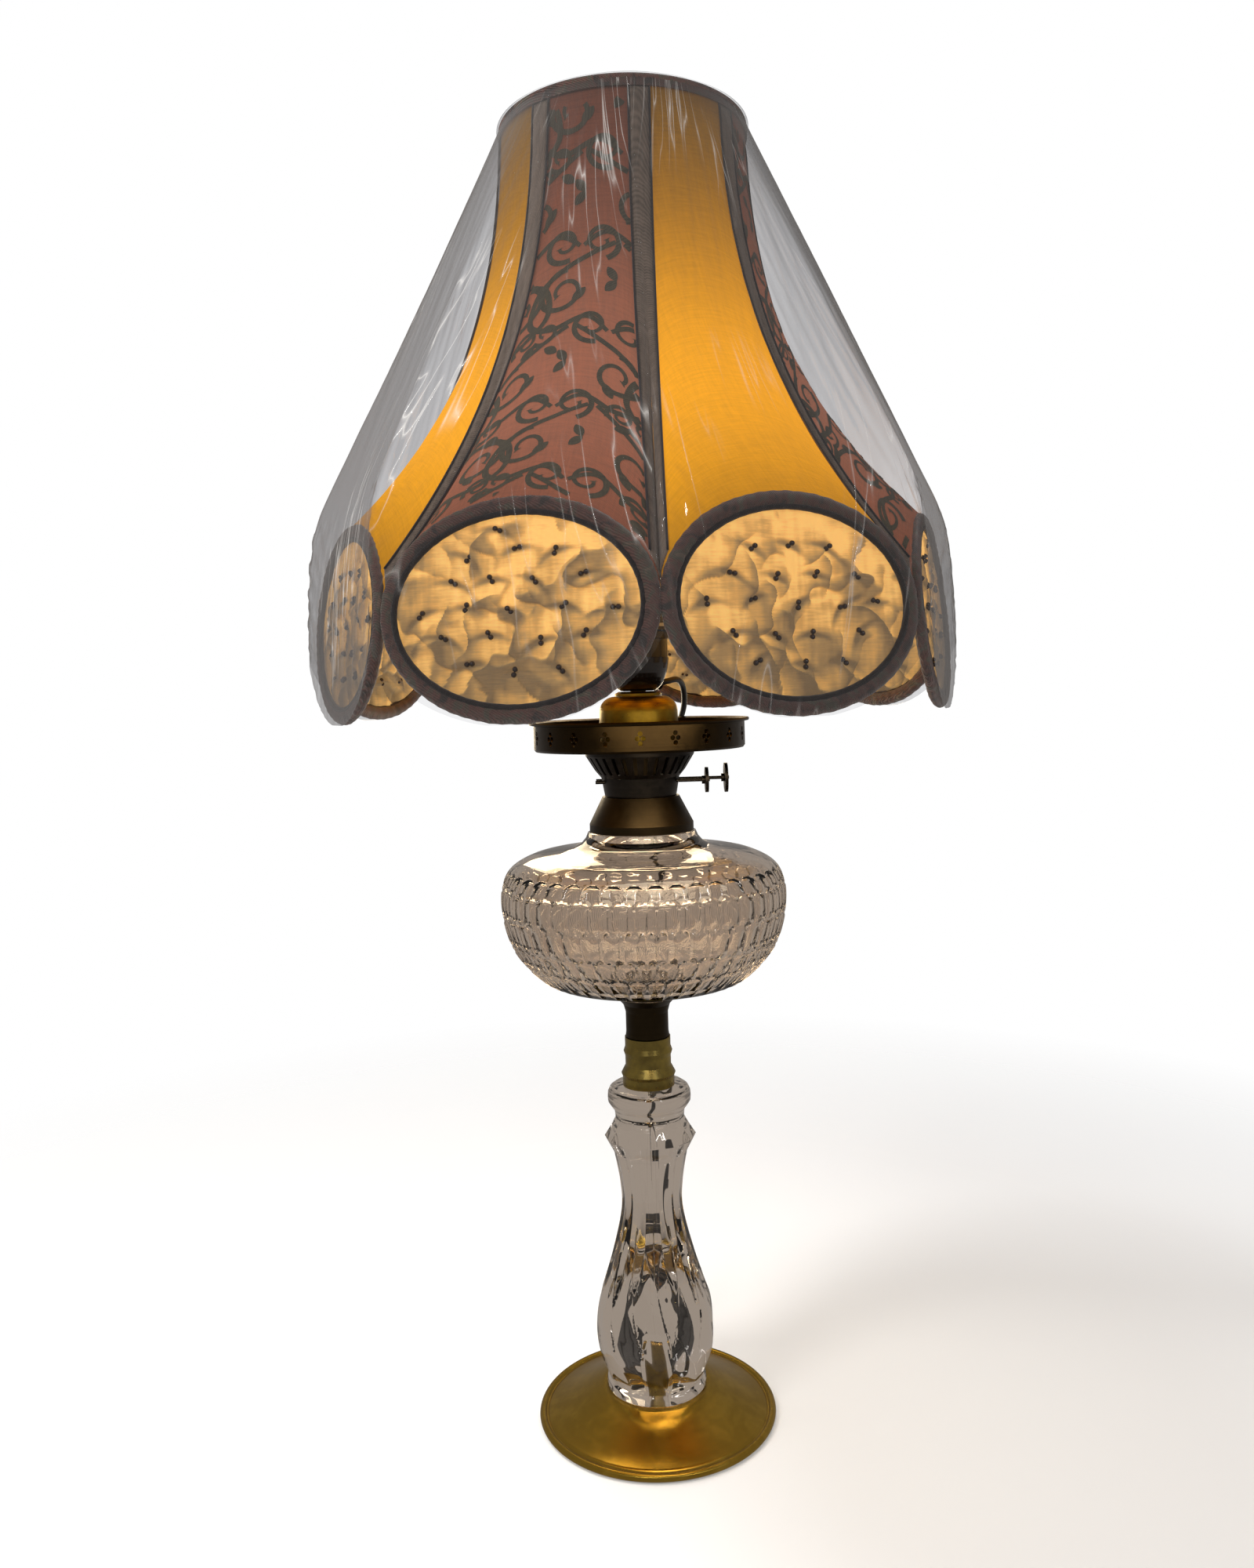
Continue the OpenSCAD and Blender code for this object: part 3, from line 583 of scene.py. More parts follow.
def make_glass():
    """The pressed stem, solid but for its bores, and the hollow font."""
    clear = clear_glass("stem_crystal", (0.93, 0.88, 0.84))
    body = [(30.6, 27.5), (35.4, 39.5), (37.6, 54.6), (35.4, 74), (26.6, 101), (19.8, 129), (20, 147),
            (23.3, 166)]
    knop = [(25.5, 170), (27.4, 173.5), (29.2, 177), (27, 180.4), (25, 183.5), (21.9, 188.7),
            (22.2, 191.5), (22.5, 194), (24.8, 197), (26.4, 199.4), (26.6, 202), (26.4, 205),
            (25.2, 207.5), (23, STEM_TOP_Z)]
    outline = ([(5.2, 19.3), (31.2, 19.3), (31.6, 19.8), (31.6, 23.2), (31, 24.2), (30.2, 25.6)]
               + [(*p, 1) for p in smooth_line(body, 14)] + [(*p, 1) for p in knop[:5]] + knop[5:]
               + [(GLASS_PEG_R, STEM_TOP_Z), (GLASS_PEG_R, 222), (0.05, 222), (0.05, 51), (5.2, 51)])
    turned("stem", outline, clear, "stand", ("stem_glass",), 288, stem_radius)
    clear = clear_glass("font_crystal", (0.92, 0.85, 0.79))
    outer = [(20, FONT_Z), (47, 274), (66, 280), (84, 300), (91, 327), (87, 347), (72, 357), (51, 361)]
    inner = [(44, 278.5), (62, 285), (78.5, 303), (85.5, 327), (81.5, 343.5), (69, 351.5), (48, 356)]
    outline = ([(0.05, 256), (GLASS_PEG_R, 256), (GLASS_PEG_R, 265.8)]
               + [(*p, 1) for p in smooth_line(outer, 24)]
               + [(44, 362.3), (39, 364.5), (36, 368), (34.6, 371.4), (28, 371.4), (28, 380), (23.5, 380),
                  (23.5, 369), (26, 364), (32, 361)]
               + [tuple(p) for p in smooth_line(inner[::-1], 8)] + [(0.05, 273)])
    turned("font", outline, clear, "stand", ("font_glass",), 16 * FONT_CELLS, font_radius)


# ------------------------------ shade geometry, as in the CAD
def out_dir(a):
    return np.array([math.sin(a), -math.cos(a), 0.0])


def rib_azimuth(k):
    return FRONT_RIB + STEP * k


def on_side(k, v):
    """A point of the cloth on rib k, v from its top (0) to its foot (1)."""
    r, z = bezier(PANEL_SIDE, v)
    return r * out_dir(rib_azimuth(k) + RIB_TWIST * (1 - v)) + (0, 0, z)


def medallion_point(k, s, h, n):
    """A point s sideways, h up and n out from the middle of medallion k."""
    a = rib_azimuth(k + 0.5)
    r, t, up = out_dir(a), np.array([math.cos(a), math.sin(a), 0.0]), np.array([0, 0, 1.0])
    lift = math.cos(LEAN) * up - math.sin(LEAN) * r
    face = math.cos(LEAN) * r + math.sin(LEAN) * up
    return MEDALLION_D * r + MEDALLION_Z * up + s * t + h * lift + n * face


def lower_edge(k, u):
    return medallion_point(k, -EDGE_A * math.cos(math.pi * u), EDGE_B * math.sin(math.pi * u), 0)


def upper_edge(k, u):
    return PANEL_TOP_R * out_dir(rib_azimuth(k + u) + RIB_TWIST) + (0, 0, PANEL_TOP_Z)


def panel_point(k, u, v):
    """A point of panel k: u across from its left rib (0) to its right one (1), v down."""
    foot = (1 - u) * lower_edge(k, 0) + u * lower_edge(k, 1)
    head = (1 - u) * upper_edge(k, 0) + u * upper_edge(k, 1)
    return ((1 - u) * on_side(k, v) + u * on_side(k + 1, v) + (1 - v) * (upper_edge(k, u) - head)
            + v ** 1.4 * (lower_edge(k, u) - foot))


def panel_normal(k, u, v):
    e = 0.01
    sideways = panel_point(k, min(1, u + e), v) - panel_point(k, max(0, u - e), v)
    upwards = panel_point(k, u, max(0, v - e)) - panel_point(k, u, min(1, v + e))
    n = np.cross(sideways, upwards)
    return n / np.linalg.norm(n)


def panel_width(v):
    return 2 * bezier(PANEL_SIDE, v)[0] * math.sin(STEP / 2)


def across(u, v):
    """Millimetres across the cloth from the middle of a panel, at u and v."""
    swell = v ** 1.4 * EDGE_A * (-np.cos(np.pi * u) - (2 * u - 1))
    return (u - 0.5) * panel_width(v) + swell


def u_across(x, v):
    """The u that lies x millimetres across from the middle of a panel."""
    return float(np.interp(x, across(U_TABLE, v), U_TABLE))


U_TABLE = np.linspace(0, 1, 81)


def panel_lengths(steps=60):
    """Length down the middle of a panel at evenly spaced v."""
    line = [panel_point(0, 0.5, i / steps) for i in range(steps + 1)]
    run = [0.0]
    for a, b in zip(line, line[1:]):
        run.append(run[-1] + float(np.linalg.norm(b - a)))
    return np.array(run)


LENGTHS = panel_lengths()


def v_at(length):
    return float(np.interp(length, LENGTHS, np.linspace(0, 1, len(LENGTHS))))


def length_at(v):
    return float(np.interp(v, np.linspace(0, 1, len(LENGTHS)), LENGTHS))


def on_panel(k, u, v, lift):
    """A place on the cloth: stretched smooth, with shallow gathers above the medallion."""
    gather = 0.2 * max(0.0, (v - 0.5) / 0.5) ** 2 * math.sin(u * 61 + 1.7 * math.sin(9 * u + k))
    slack = 0.5 * fbm(3 * u + 7 * k, 5 * v, 0.3)
    fade = math.sin(math.pi * u) ** 0.5 * math.sin(math.pi * min(v, 0.98)) ** 0.5 if 0 < u < 1 else 0
    return panel_point(k, u, v) + (lift + fade * (gather + slack)) * panel_normal(k, u, v)


def make_panels(gold, brocade, scroll):
    columns, down = 30, 84
    faces = [f[::-1] for f in grid_faces(down + 1, columns + 1)]
    for k in range(SIDES):
        kind, material, slot = ("brocade", brocade, "brocade") if k % 2 else ("gold", gold, "gold_silk")
        verts, uv = [], []
        for i in range(down + 1):
            v = i / down
            for j in range(columns + 1):
                u = j / columns
                verts.append(on_panel(k, u, v * 0.999, 0))
                uv.append((across(u, v) * MM, length_at(v) * MM))
        panel = piece(f"{kind}_panel_{k // 2 + 1}", verts, faces, material, "shade", (f"{kind}_panels",),
                      uv=uv)
        extra = [make_scrolls(k, scroll)] if k % 2 else []


def scroll_lines():
    """Polylines (x, y, width) of the brocade's repeat: vines with curled ends and leaves, in millimetres."""
    lines = []
    grow = 1.22

    def curl(cx, cy, r, start, hand, turns=1.35, w=2.6):
        pts = []
        for i in range(40):
            t = i / 39
            a = start + hand * 2 * math.pi * turns * t
            rr = r * (1 - 0.72 * t)
            pts.append((cx + rr * math.cos(a), cy + rr * math.sin(a), w * (1 - 0.45 * t)))
        pts[-1] = (pts[-1][0], pts[-1][1], w * 1.3)
        return pts

    def vine(points, w=2.9):
        return [(p[0], p[1], w * (0.75 + 0.25 * math.sin(math.pi * i / (len(line) - 1))))
                for line in [smooth_line(points, 10)] for i, p in enumerate(line)]

    def leaf(x, y, angle, size=9.0):
        pts = []
        for i in range(9):
            t = i / 8
            pts.append((x + size * t * math.cos(angle), y + size * t * math.sin(angle),
                        0.5 + 4.2 * math.sin(math.pi * t) ** 0.8))
        return pts

    pitch_x, pitch_y = 36, 46
    for row in range(-1, 7):
        for col in range(-3, 4):
            x0 = col * pitch_x + (pitch_x / 2 if row % 2 else 0)
            y0 = row * pitch_y
            hand = 1 if (row + col) % 2 else -1
            lines.append(curl(x0 + 7 * hand, y0 + 12, 12.5, -1.6 if hand > 0 else -1.5, hand, w=3.2))
            lines.append(curl(x0 - 9 * hand, y0 + 32, 9.5, 1.2, -hand, 1.25, 2.8))
            lines.append(curl(x0 + 13 * hand, y0 + 33, 6.5, 2.6, hand, 1.1, 2.4))
            wave = [(-16, -14), (-3, -6), (9, 0), (20, 8), (22, 24), (10, 32), (-6, 27), (-17, 34)]
            lines.append(vine([(x0 + x * hand, y0 + y) for x, y in wave]))
            lines.append(leaf(x0 + 2 * hand, y0 + 18, 0.9 * hand))
            lines.append(leaf(x0 - 18 * hand, y0 + 6, 2.2 * hand, 8))
            lines.append(leaf(x0 + 12 * hand, y0 + 42, -0.6 * hand, 8))
    return [[(grow * x, grow * y, grow * w) for x, y, w in line] for line in lines]


def scroll_runs():
    """The ribbons of the figure that fall on a panel, as pairs of (u, v) at their two edges."""
    runs = []

    def place(x, y):
        v = v_at(y)
        return u_across(x, v), v

    for line in scroll_lines():
        run = []
        for i, (x, y, w) in enumerate(line):
            ahead, behind = line[min(i + 1, len(line) - 1)], line[max(i - 1, 0)]
            dx, dy = ahead[0] - behind[0], ahead[1] - behind[1]
            size = math.hypot(dx, dy) or 1
            nx, ny = -dy / size, dx / size
            v = v_at(y)
            if abs(x) < panel_width(v) / 2 - 6 and 0.03 < v < 0.985:
                run.append([place(x + side * nx * w / 2, y + side * ny * w / 2) for side in (-1, 1)])
            else:
                runs.append(run)
                run = []
        runs.append(run)
    return [run for run in runs if len(run) > 2]


SCROLL_RUNS = scroll_runs()


def make_scrolls(k, material):
    """The darker scroll figure of brocade panel k, woven ribbons a hair above the ground cloth."""
    verts, faces = [], []
    for run in SCROLL_RUNS:
        add_ribbon(k, run, verts, faces)
    return piece(f"brocade_scrolls_{k // 2 + 1}", verts, faces, material, "shade", ())


def add_ribbon(k, run, verts, faces):
    """One stretch of a ribbon of the figure, laid on panel k."""
    start = len(verts)
    for pair in run:
        for u, v in pair:
            verts.append(on_panel(k, min(max(u, 0.01), 0.99), min(max(v, 0.0), 0.99), 0.28))
    for i in range(len(run) - 1):
        a = start + 2 * i
        faces.append((a, a + 1, a + 3, a + 2))


def make_bands(band, piping):
    """The cloth band over each rib, with a narrow piping down both edges."""
    steps = 60
    faces = [f[::-1] for f in grid_faces(steps + 1, len(BAND_COLUMNS))]
    for k in range(SIDES):
        left, out = k + SIDES - 1, out_dir(rib_azimuth(k))
        verts, edges = [], ([], [])
        for i in range(steps + 1):
            v = 0.004 + 0.984 * i / steps
            rise = min(1, v / 0.03)
            row = []
            for f in BAND_COLUMNS:
                u = u_across(abs(f) * BAND_W / 2 - panel_width(v) / 2, v)
                side, at = (k, u) if f > 0 else (left, 1 - u)
                row.append(panel_point(side, at, v) + rise * panel_normal(side, at, v))
            pucker = rise * 0.35 * fbm(v * 26, k * 3.1, 0.7)
            for f, p in zip(BAND_COLUMNS, row):
                crown = rise * 0.5 * (1 - f * f) + pucker
                verts.append(p + crown * out)
            edges[0].append(row[0] + 0.2 * out)
            edges[1].append(row[-1] + 0.2 * out)
        obj = piece(f"rib_band_{k + 1}", verts, faces, band, "shade", ("rib_bands",))
        solid = obj.modifiers.new("thickness", "SOLIDIFY")
        solid.thickness = 0.6 * MM
        for side in (0, 1):
            tube(f"rib_piping_{k + 1}_{'lr'[side]}", edges[side], 0.65, piping, "shade", 8)


def oval_tube(name, k, material, grow, section, lift, ruche, cols=20, seed=0.0, replaces=()):
    """A soft hoop along the wire of medallion k, grown outwards from it and ruched along its length."""
    a, b = WIRE_A + grow, WIRE_B + grow
    half_w, half_t = section
    steps, verts = 200, []
    for g in turn_angles(steps):
        out = np.array([b * math.cos(g), a * math.sin(g)])
        out /= np.linalg.norm(out)
        for j, q in enumerate(turn_angles(cols)):
            fold = ruche * (fbm(4 * math.cos(g) + seed, 4 * math.sin(g) + 0.12 * j, 31 * g / 6.28, 2)
                            + 0.5 * math.sin(57 * g + 2.2 * math.sin(3 * g + seed) + 0.8 * math.cos(q)))
            w, t = (half_w + fold) * math.cos(q), (half_t + fold) * math.sin(q)
            verts.append(medallion_point(k, a * math.cos(g) + w * out[0], b * math.sin(g) + w * out[1],
                                         lift + t))
    return piece(name, verts, grid_faces(steps, cols, True, True), material, "shade", replaces)


# ------------------------------ medallions
def bead_places(rng):
    """Where the bead pairs sit on a medallion: loose offset rows inside the oval."""
    places = []
    for row in range(-3, 4):
        for col in range(-3, 4):
            x = 25 * (col + (0.5 if row % 2 else 0)) + rng.uniform(-3.5, 3.5)
            y = 14.5 * row + rng.uniform(-2.5, 2.5)
            if (x / 57) ** 2 + (y / 42) ** 2 < 1:
                places.append((x, y))
    return places


def ruched_sheet(seed, rng):
    """An oval of sheer cloth in flaps between its beads. Returns points, faces, beads and the painted shade
    of its folds.
    """
    a, b = WIRE_A - 2.4, WIRE_B - 2.4
    beads = bead_places(rng)
    rings, around = ((72, 264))
    flat = [(0.0, 0.0)]
    for i in range(1, rings + 1):
        for g in turn_angles(around):
            flat.append((a * i / rings * math.cos(g), b * i / rings * math.sin(g)))
    faces = [(0, 1 + j, 1 + (j + 1) % around) for j in range(around)]
    faces += [tuple(1 + q for q in f[::-1]) for f in grid_faces(rings, around, False, True)]
    pleats = [(x, y, rng.uniform(-0.5, 0.9), rng.uniform(6, 11)) for x, y in beads]
    points, dark = [], []
    for x, y in flat:
        rim = min(1.0, 7 * (1 - math.hypot(x / a, y / b)))
        height, shade = flap(x, y, seed)
        for bx, by, turn, reach in pleats:
            dx, dy = x - bx, y - by
            along = dx * math.cos(turn) + dy * math.sin(turn)
            aside = dy * math.cos(turn) - dx * math.sin(turn) + along * along / 40
            pull = math.exp(-(along / reach) ** 2 - (aside / 1.7) ** 2)
            height -= 1.5 * pull
            # painted shade: the pleat gathered at each bead is painted darker
            shade += 0.75 * pull
        points.append((x, y, 3.4 * math.tanh(height * rim / 3.4)))
        dark.append(min(1.0, shade))
    return np.array(points), faces, beads, dark


# direction of each family of flaps in radians, distance between flaps, height and how far they wander
FLAPS = [(0.25, 24, 2.6, 17), (-0.75, 31, 2.4, 21), (1.15, 36, 2.0, 16)]


def flap(x, y, seed):
    """Height and painted shade of the flaps over a faint random tone: each rises slowly, then drops at a
    crisp curved edge, with painted shade deepening up each flap to its crest, and the lower part of the oval
    is painted darker.
    """
    height, shade = 0.5 * fbm(x / 2.6, y / 30, seed, 2), 0.12 + 0.1 * fbm(x / 3, y / 26, seed, 2)
    for n, (turn, pitch, tall, wander) in enumerate(FLAPS):
        drift = wander * fbm(x / 30 + 5 * n, y / 24, seed + n, 2)
        phase = (x * math.cos(turn) + y * math.sin(turn) + drift) / pitch + 0.37 * n
        rise = phase % 1.0
        there = fbm(x / 21 + 3.3, y / 19 + 7 * n, seed * 1.7, 2) + 0.25 - 0.35 * y / 50
        there = min(1.0, max(0.0, 2.4 * there))
        edge = min(1.0, (1 - rise) * pitch / 1.1)
        height += tall * there * (rise ** 1.6 * edge - 0.3)
        # painted shade, deepening up each flap to its crest
        shade += 0.62 * there * (rise ** 2.2) * edge
    # painted shade, deepening towards the lower part of the oval
    return height, shade + 0.2 * max(0.0, -y / 50)


def make_medallions(organza, bead):
    rng = random.Random(7)
    kinds = [ruched_sheet(1.3, rng), ruched_sheet(8.9, rng)]
    for k in range(SIDES):
        pts, faces, beads, dark = kinds[k % 2]
        flip = -1 if k % 4 > 1 else 1
        verts = [medallion_point(k, flip * p[0], p[1], p[2]) for p in pts]
        uv = [(p[0] * MM, p[1] * MM) for p in pts]
        facing_out = faces if flip > 0 else [f[::-1] for f in faces]
        sheet = piece(f"ruched_medallion_{k + 1}", verts, facing_out, organza, "shade",
                      (f"medallion_{k + 1}",), uv=uv)
        # the fold attribute carries the painted shade of folds, pleats and lower part to the organza's
        # colour
        sheet.data.attributes.new("fold", "FLOAT", "POINT").data.foreach_set("value", dark)
        beads_piece = make_beads(k, flip, pts, beads, bead)


def make_beads(k, flip, pts, beads, material):
    """Pairs of small round beads sewn on medallion k."""
    verts, faces, r, apart = [], [], 1.5, 1.45
    rng = random.Random(100 + k)
    for x, y in beads:
        near = np.argsort((pts[:, 0] - x) ** 2 + (pts[:, 1] - y) ** 2)[:4]
        z = float(pts[near, 2].mean())
        turn = rng.uniform(0, math.pi)
        for side in (-1, 1):
            cx, cy = x + side * apart * math.cos(turn), y + side * apart * math.sin(turn)
            ball(verts, faces, k, (flip * cx, cy, z + r * 0.8), r)
    return piece(f"beads_{k + 1}", verts, faces, material, "shade", ())


def ball(verts, faces, k, center, r, rows=6, cols=10):
    """Adds a small ball with flat poles, placed in the space of medallion k."""
    start = len(verts)
    for i in range(rows + 1):
        lat = math.pi * i / rows
        ring = max(0.25, math.sin(lat)) if 0 < i < rows else 0.25
        for g in turn_angles(cols):
            verts.append(medallion_point(k, center[0] + r * ring * math.cos(g),
                                         center[1] + r * ring * math.sin(g), center[2] + r * math.cos(lat)))
    faces += [tuple(start + q for q in f) for f in bar_faces(rows + 1, cols)]


# ------------------------------ film
FILM_LINE = smooth_line([(81.2, SHADE_TOP_Z - 1), (84.5, 806), (144, 687), (190, 597), (202, 569),
                         (207, 541), (208.6, 500), (209.4, 446)], 14)
FILM_DROP = 245  # height over which the round top turns flat-sided
FILM_INSET = 0.7
FILM_RUN = np.concatenate([[0], np.cumsum(np.linalg.norm(np.diff(FILM_LINE, axis=0), axis=1))])


def film_point(a, v):
    """The clear wrapping at azimuth a, v from the top ring (0) down past the medallions (1)."""
    phase = ((a - FRONT_RIB) / STEP) % 1.0
    off = abs(phase - 0.5) * 2
    foot = MEDALLION_Z - EDGE_B * math.sqrt(max(0.02, 1 - (off * 0.97) ** 2)) - 1.5
    reach = np.interp(-foot, -FILM_LINE[:, 1], FILM_RUN) * v
    r, z = (float(np.interp(reach, FILM_RUN, FILM_LINE[:, i])) for i in (0, 1))
    drop = min(1.0, max(0.0, (SHADE_TOP_Z - z) / FILM_DROP))
    flat = math.cos(STEP / 2) / math.cos((phase - 0.5) * STEP)
    sharp = drop ** 0.8
    r *= (1 - sharp) + sharp * flat
    taut = math.sin(math.pi * drop)
    stripe = a * 19 + 4.5 * drop
    fold = taut * (0.55 * fbm(stripe, 1.1 * drop, 0.1, 3) + 0.3 * fbm(2.3 * stripe, 2 * drop, 5.0, 2))
    if drop >= 1:
        fold += (0.3 + 1.3 * off ** 5) * fbm(a * 34, z / 9, 2.0, 3)
    return (r - FILM_INSET + min(fold, 0.6)) * out_dir(a) + (0, 0, z)


def make_film(material):
    around, down = 480, 130
    verts, uv = [], []
    for i in range(down + 1):
        v = i / down
        for g in turn_angles(around):
            a = FRONT_RIB + g
            verts.append(film_point(a, v))
            uv.append((a * 0.15, 0.4 * v))
    faces = [f[::-1] for f in grid_faces(down + 1, around, False, True)]
    film = piece("clear_wrap", verts, faces, material, "shade", ("film_wrap",), uv=uv)


# ------------------------------ metal and lampholder
def paint(material, *names):
    for name in names:
        NODES[name].data.materials.clear()
        NODES[name].data.materials.append(material)


def make_base(base_metal):
    """The spun base: a thin dished sheet with a rolled bead round its rim."""
    bead = arc((73, 2.7), 2.3, -80, 150, 18)
    top = [tuple(bezier([(69.3, 4.4), (57.3, 8), (46, 15), (34, 19)], i / 24)) for i in range(25)]
    outline = ([(70.3, 2.1), (73, 0.4)] + bead + [(70.6, 3.9), (70.0, 3.7)] + top
               + [(33, 19), (3.2, 19), (3.2, 17.8)] + [(p[0] - 0.4, p[1] - 1.2) for p in top[::-1]])
    turned("spun_base", outline, base_metal, "stand", ("base_dish",), 192)


def main():
    make_camera()
    rubber = plain("cord_rubber", (0.012, 0.012, 0.012), 0.45, grain=900)
    nickel = plain("plug_nickel", (0.62, 0.61, 0.58), 0.25, 1.0)
    make_cord(rubber, nickel)
    make_world()
    make_lights()
    make_floor()

    base_metal = brass("base_brass", (0.52, 0.33, 0.05), (0.42, 0.26, 0.035), 0.24, 0.03, 0.0, 1, 0.8)
    make_base(base_metal)
    paint(brass("ferrule_brass", (0.46, 0.34, 0.08), (0.16, 0.12, 0.04), 0.3, 0.25, 0.6, 3, 0.4),
          "stem_ferrule", "ferrule_stud", "foot_insert")
    paint(brass("brown_brass", (0.045, 0.031, 0.015), (0.024, 0.017, 0.009), 0.4, 0.2, 0.8, 5, 0.3),
          "font_ferrule", "font_collar", "wick_tubes")
    paint(brass("tray_bronze", (0.034, 0.022, 0.009), (0.02, 0.013, 0.006), 0.34, 0.2, 0.7, 7),
          "gallery_tray")
    paint(brass("black_bronze", (0.05, 0.042, 0.034), (0.015, 0.013, 0.012), 0.38, 0.2, 0.7, 9),
          "burner_cup", "burner_basket", "front_spindle", "rear_spindle", "front_thumb_disc",
          "rear_thumb_disc")
    paint(brass("dome_brass", (0.40, 0.27, 0.035), (0.24, 0.16, 0.02), 0.3, 0.25, 0.3, 11, 0.3),
          "burner_dome", "dome_flange")
    paint(brass("electric_brass", (0.75, 0.55, 0.22), (0.5, 0.35, 0.12), 0.28, 0.2, 0.2, 13),
          "socket_nipple", "socket_locknut", "screw_shell", "centre_contact", "bulb_cap",
          "front_spur_wheels", "rear_spur_wheels")
    paint(plain("steel_wire", (0.5, 0.5, 0.51), 0.35, 1.0), "foot_bolt", "foot_washer", "top_ring",
          "shade_ribs", "medallion_frames", "fitter_ring", "fitter_arms")
    paint(plain("black_phenolic", (0.014, 0.012, 0.011), 0.22, coat=0.3), "socket_cap", "socket_body",
          "shade_ring")
    paint(rubber, "cord_grommet")
    paint(plain("felt", (0.03, 0.045, 0.03), 0.95, grain=1500, strength=0.8), "base_pad")
    paint(plain("iron_weight", (0.08, 0.08, 0.08), 0.7, 0.6), "base_weight")
    paint(plain("plaster", (0.7, 0.68, 0.62), 0.9), "collar_plaster")
    paint(glowing("bulb_frost", (1.0, 0.46, 0.07), 10), "bulb_glass")
    paint(glowing("filament", (1.0, 0.5, 0.12), 30), "bulb_filament")

    make_glass()
    # the gold silk and the brocade ground carry a painted glow near the bulb
    gold = cloth("gold_silk", (0.36, 0.19, 0.010), (0.20, 0.10, 0.006), 0.0006, glow=8.0,
                 glow_color=(1.0, 0.54, 0.008), translucent=0.3, sheen=0.0)
    brocade = cloth("brocade_ground", (0.27, 0.085, 0.045), (0.13, 0.045, 0.028), 0.0008, glow=1.9,
                    glow_color=(1.0, 0.55, 0.34), translucent=0.15, sheen=0.08)
    scroll = cloth("brocade_scroll", (0.10, 0.085, 0.055), (0.045, 0.04, 0.03), 0.0008, kind="Object",
                   translucent=0.05, sheen=0.1)
    make_panels(gold, brocade, scroll)
    band = cloth("band_brocade", (0.24, 0.18, 0.14), (0.09, 0.07, 0.055), 0.0008, kind="Object",
                 translucent=0.05)
    piping = cloth("black_piping", (0.035, 0.03, 0.032), (0.012, 0.01, 0.011), 0.0006, kind="Object",
                   translucent=0.0)
    trim = trim_cloth()
    make_bands(band, piping)
    for k in range(SIDES):
        oval_tube(f"medallion_trim_{k + 1}", k, trim, TRIM_OUT, TRIM_SECTION, 0, 0.3, seed=1.7 * k,
                  replaces=("medallion_trims", "medallion_frames"))
        oval_tube(f"medallion_piping_{k + 1}", k, piping, -PIPING_IN, (PIPING_R, PIPING_R), 1.3, 0.12, 12,
                  9 + k)
    make_top_binding(trim)
    organza = organza_material()
    bead = plain("garnet_bead", (0.02, 0.008, 0.008), 0.12, grain=300, coat=0.6)
    make_medallions(organza, bead)
    make_film(film_material())


def trim_cloth():
    """Dark binding cloth with a faint woven figure in wine, olive and charcoal."""
    s = Shader("trim_brocade")
    where = s.place()
    patch = s.noise(where, 110, 3, 0.6, 0.8)
    figure = s.ramp(patch, [(0.36, (0.045, 0.036, 0.034)), (0.5, (0.13, 0.062, 0.052)),
                            (0.62, (0.08, 0.08, 0.06)), (0.75, (0.22, 0.13, 0.10))])
    rib = s.node("TexWave", {"Vector": where, "Scale": 420.0, "Distortion": 1.2, "Detail": 2.0}, out=1,
                 bands_direction="DIAGONAL")
    color = s.mix(s.times(rib, 0.4), figure, (0.02, 0.018, 0.018))
    normal = s.bump(s.plus(rib, s.times(patch, 0.8)), 0.6, 0.0005)
    return s.finish(s.surface(Base_Color=color, Roughness=0.5, Sheen_Weight=0.3, Sheen_Roughness=0.4,
                              Normal=normal))


def glowing(name, color, strength):
    s = Shader(name)
    haze = s.noise(s.place(), 90, 2)
    return s.finish(s.surface(Base_Color=(1, 0.9, 0.75), Roughness=0.4, Emission_Color=color,
                              Emission_Strength=strength, Normal=s.bump(haze, 0.1, 0.0003)))


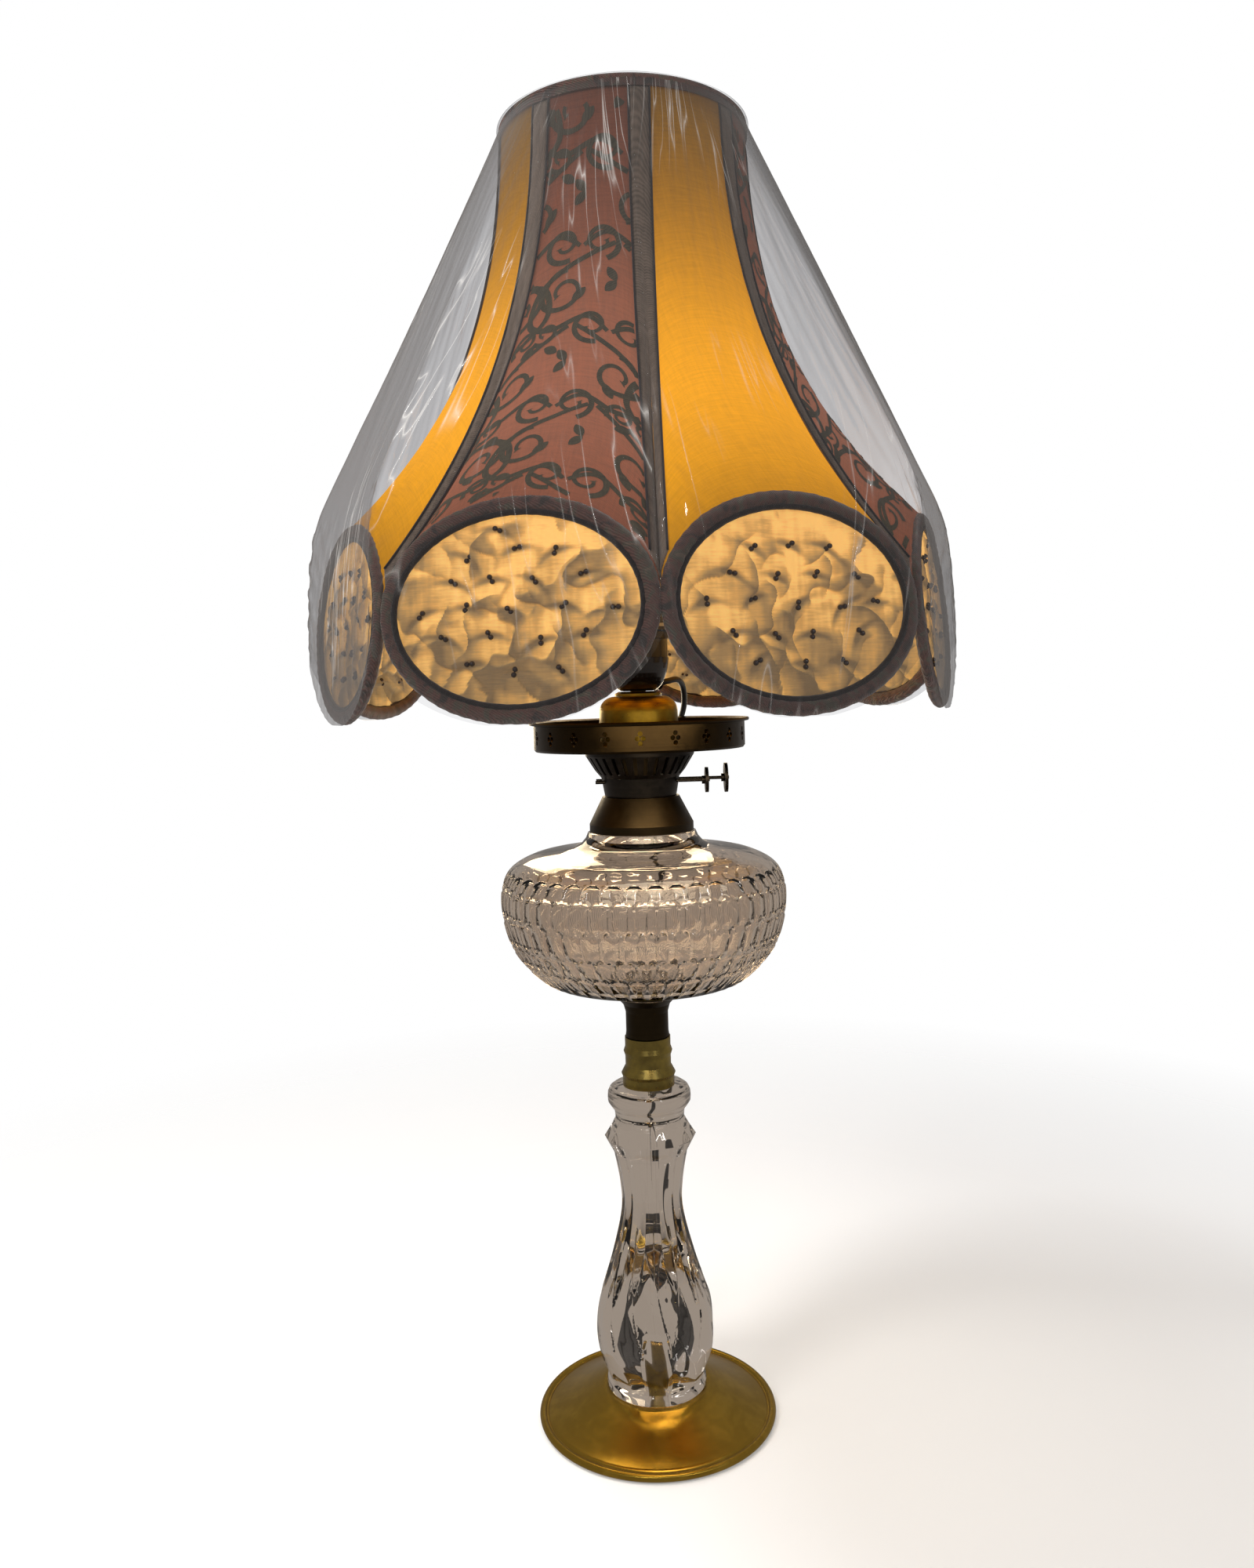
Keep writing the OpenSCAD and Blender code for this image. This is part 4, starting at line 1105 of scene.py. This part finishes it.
def organza_material():
    """Sheer gold cloth: thin crossing threads that let the bulb's light through, painted darker where it
    folds and towards its foot, and a painted glow, stronger higher up, for the bulb's light shining through.
    """
    s = Shader("organza")
    where = s.place(kind="UV")
    warp, weft = (s.node("TexWave", {"Vector": where, "Scale": 700.0, "Distortion": 0.5, "Detail": 1.0},
                         out=1, bands_direction=way) for way in "XY")
    grain = s.noise(s.place((90, 900, 60), kind="UV"), 1, 3, 0.6)
    tone = s.noise(where, 45, 3)
    weave = s.times(s.plus(warp, weft), 0.5)
    # painted shade: folds, pleats and the lower part are darkened through the fold attribute
    fold = s.node("Attribute", attribute_name="fold", out=2)
    dark = s.plus(fold, s.times(s.minus(tone, 0.5), 0.5))
    dark = s.plus(dark, s.times(s.minus(grain, 0.5), 0.35))
    color = s.ramp(dark, [(0.12, (0.86, 0.59, 0.23)), (0.36, (0.56, 0.36, 0.14)),
                          (0.62, (0.32, 0.23, 0.12)), (1.0, (0.16, 0.125, 0.085))])
    normal = s.bump(s.plus(weave, grain), 0.4, 0.0003)
    body = s.surface(Base_Color=color, Roughness=0.6, Normal=normal, Sheen_Weight=0.4, Sheen_Roughness=0.3)
    through = s.node("BsdfTranslucent", {"Color": color, "Normal": normal})
    cloth_part = s.node("MixShader", {0: 0.5, 1: body, 2: through})
    # painted glow: emission, stronger higher up the medallion, stands in for the bulb's light shining
    # through
    height = s.node("SeparateXYZ", {0: s.place()}, out=2)
    painted_glow_by_height = s.math("DIVIDE", s.minus(height, 0.44), 0.13)
    painted_glow_by_height = s.ramp(painted_glow_by_height, [(0.0, (0.8,)), (0.85, (1,))])
    strength = s.times(s.times(painted_glow_by_height, s.plus(weave, 0.55)), 0.72)
    painted_glow = s.node("Emission", {"Color": s.mix(1.0, (1, 0.86, 0.6), color, "MULTIPLY"), "Strength": strength})
    return s.finish(s.node("AddShader", {0: cloth_part, 1: painted_glow}))


def make_top_binding(material):
    """The bound edge round the shade's top: a channel of cloth, open below."""
    r, z = SHADE_TOP_R, SHADE_TOP_Z
    low = z - BINDING_H
    outline = ([(r - 0.8, low), (r - 0.1, low)] + arc((r - 2.1, z - 2.1), 2.0, 0, 90, 6)
               + arc((r - 4.9, z - 2.1), 2.0, 90, 180, 6)
               + [(r - 6.8, low), (r - 6.1, low), (r - 5.9, z - 1.4), (r - 0.9, z - 1.4)])

    def pucker(a, r, z):
        return r + 0.22 * fbm(a * 30, z * 0.4, 3.0, 2)

    turned("top_band", outline, material, "shade", ("top_binding",), 320, pucker)


def make_floor():
    """A pale round floor that fades out before its rim."""
    s = Shader("pale_floor")
    where = s.place()
    away = s.node("VectorMath", {0: where}, operation="LENGTH", out=1)
    fade = s.ramp(s.math("DIVIDE", away, FLOOR_R), [(0.4, (0,)), (0.8, (1,))])
    grain = s.noise(where, 60, 3)
    flat = s.surface(Base_Color=(0.72, 0.72, 0.72), Roughness=0.7, Normal=s.bump(grain, 0.03, 0.0005),
                     Emission_Color=(1, 1, 1), Emission_Strength=0.2)
    material = s.finish(s.node("MixShader", {0: fade, 1: flat, 2: s.node("BsdfTransparent")}))
    mesh = bpy.data.meshes.new("floor")
    rim = [(FLOOR_R * math.cos(a), FLOOR_R * math.sin(a), -0.0002) for a in turn_angles(96)]
    mesh.from_pydata(rim, [], [tuple(range(96))])
    mesh.materials.append(material)
    floor = add_object("floor", mesh)
    floor.visible_glossy = floor.visible_transmission = False


main()
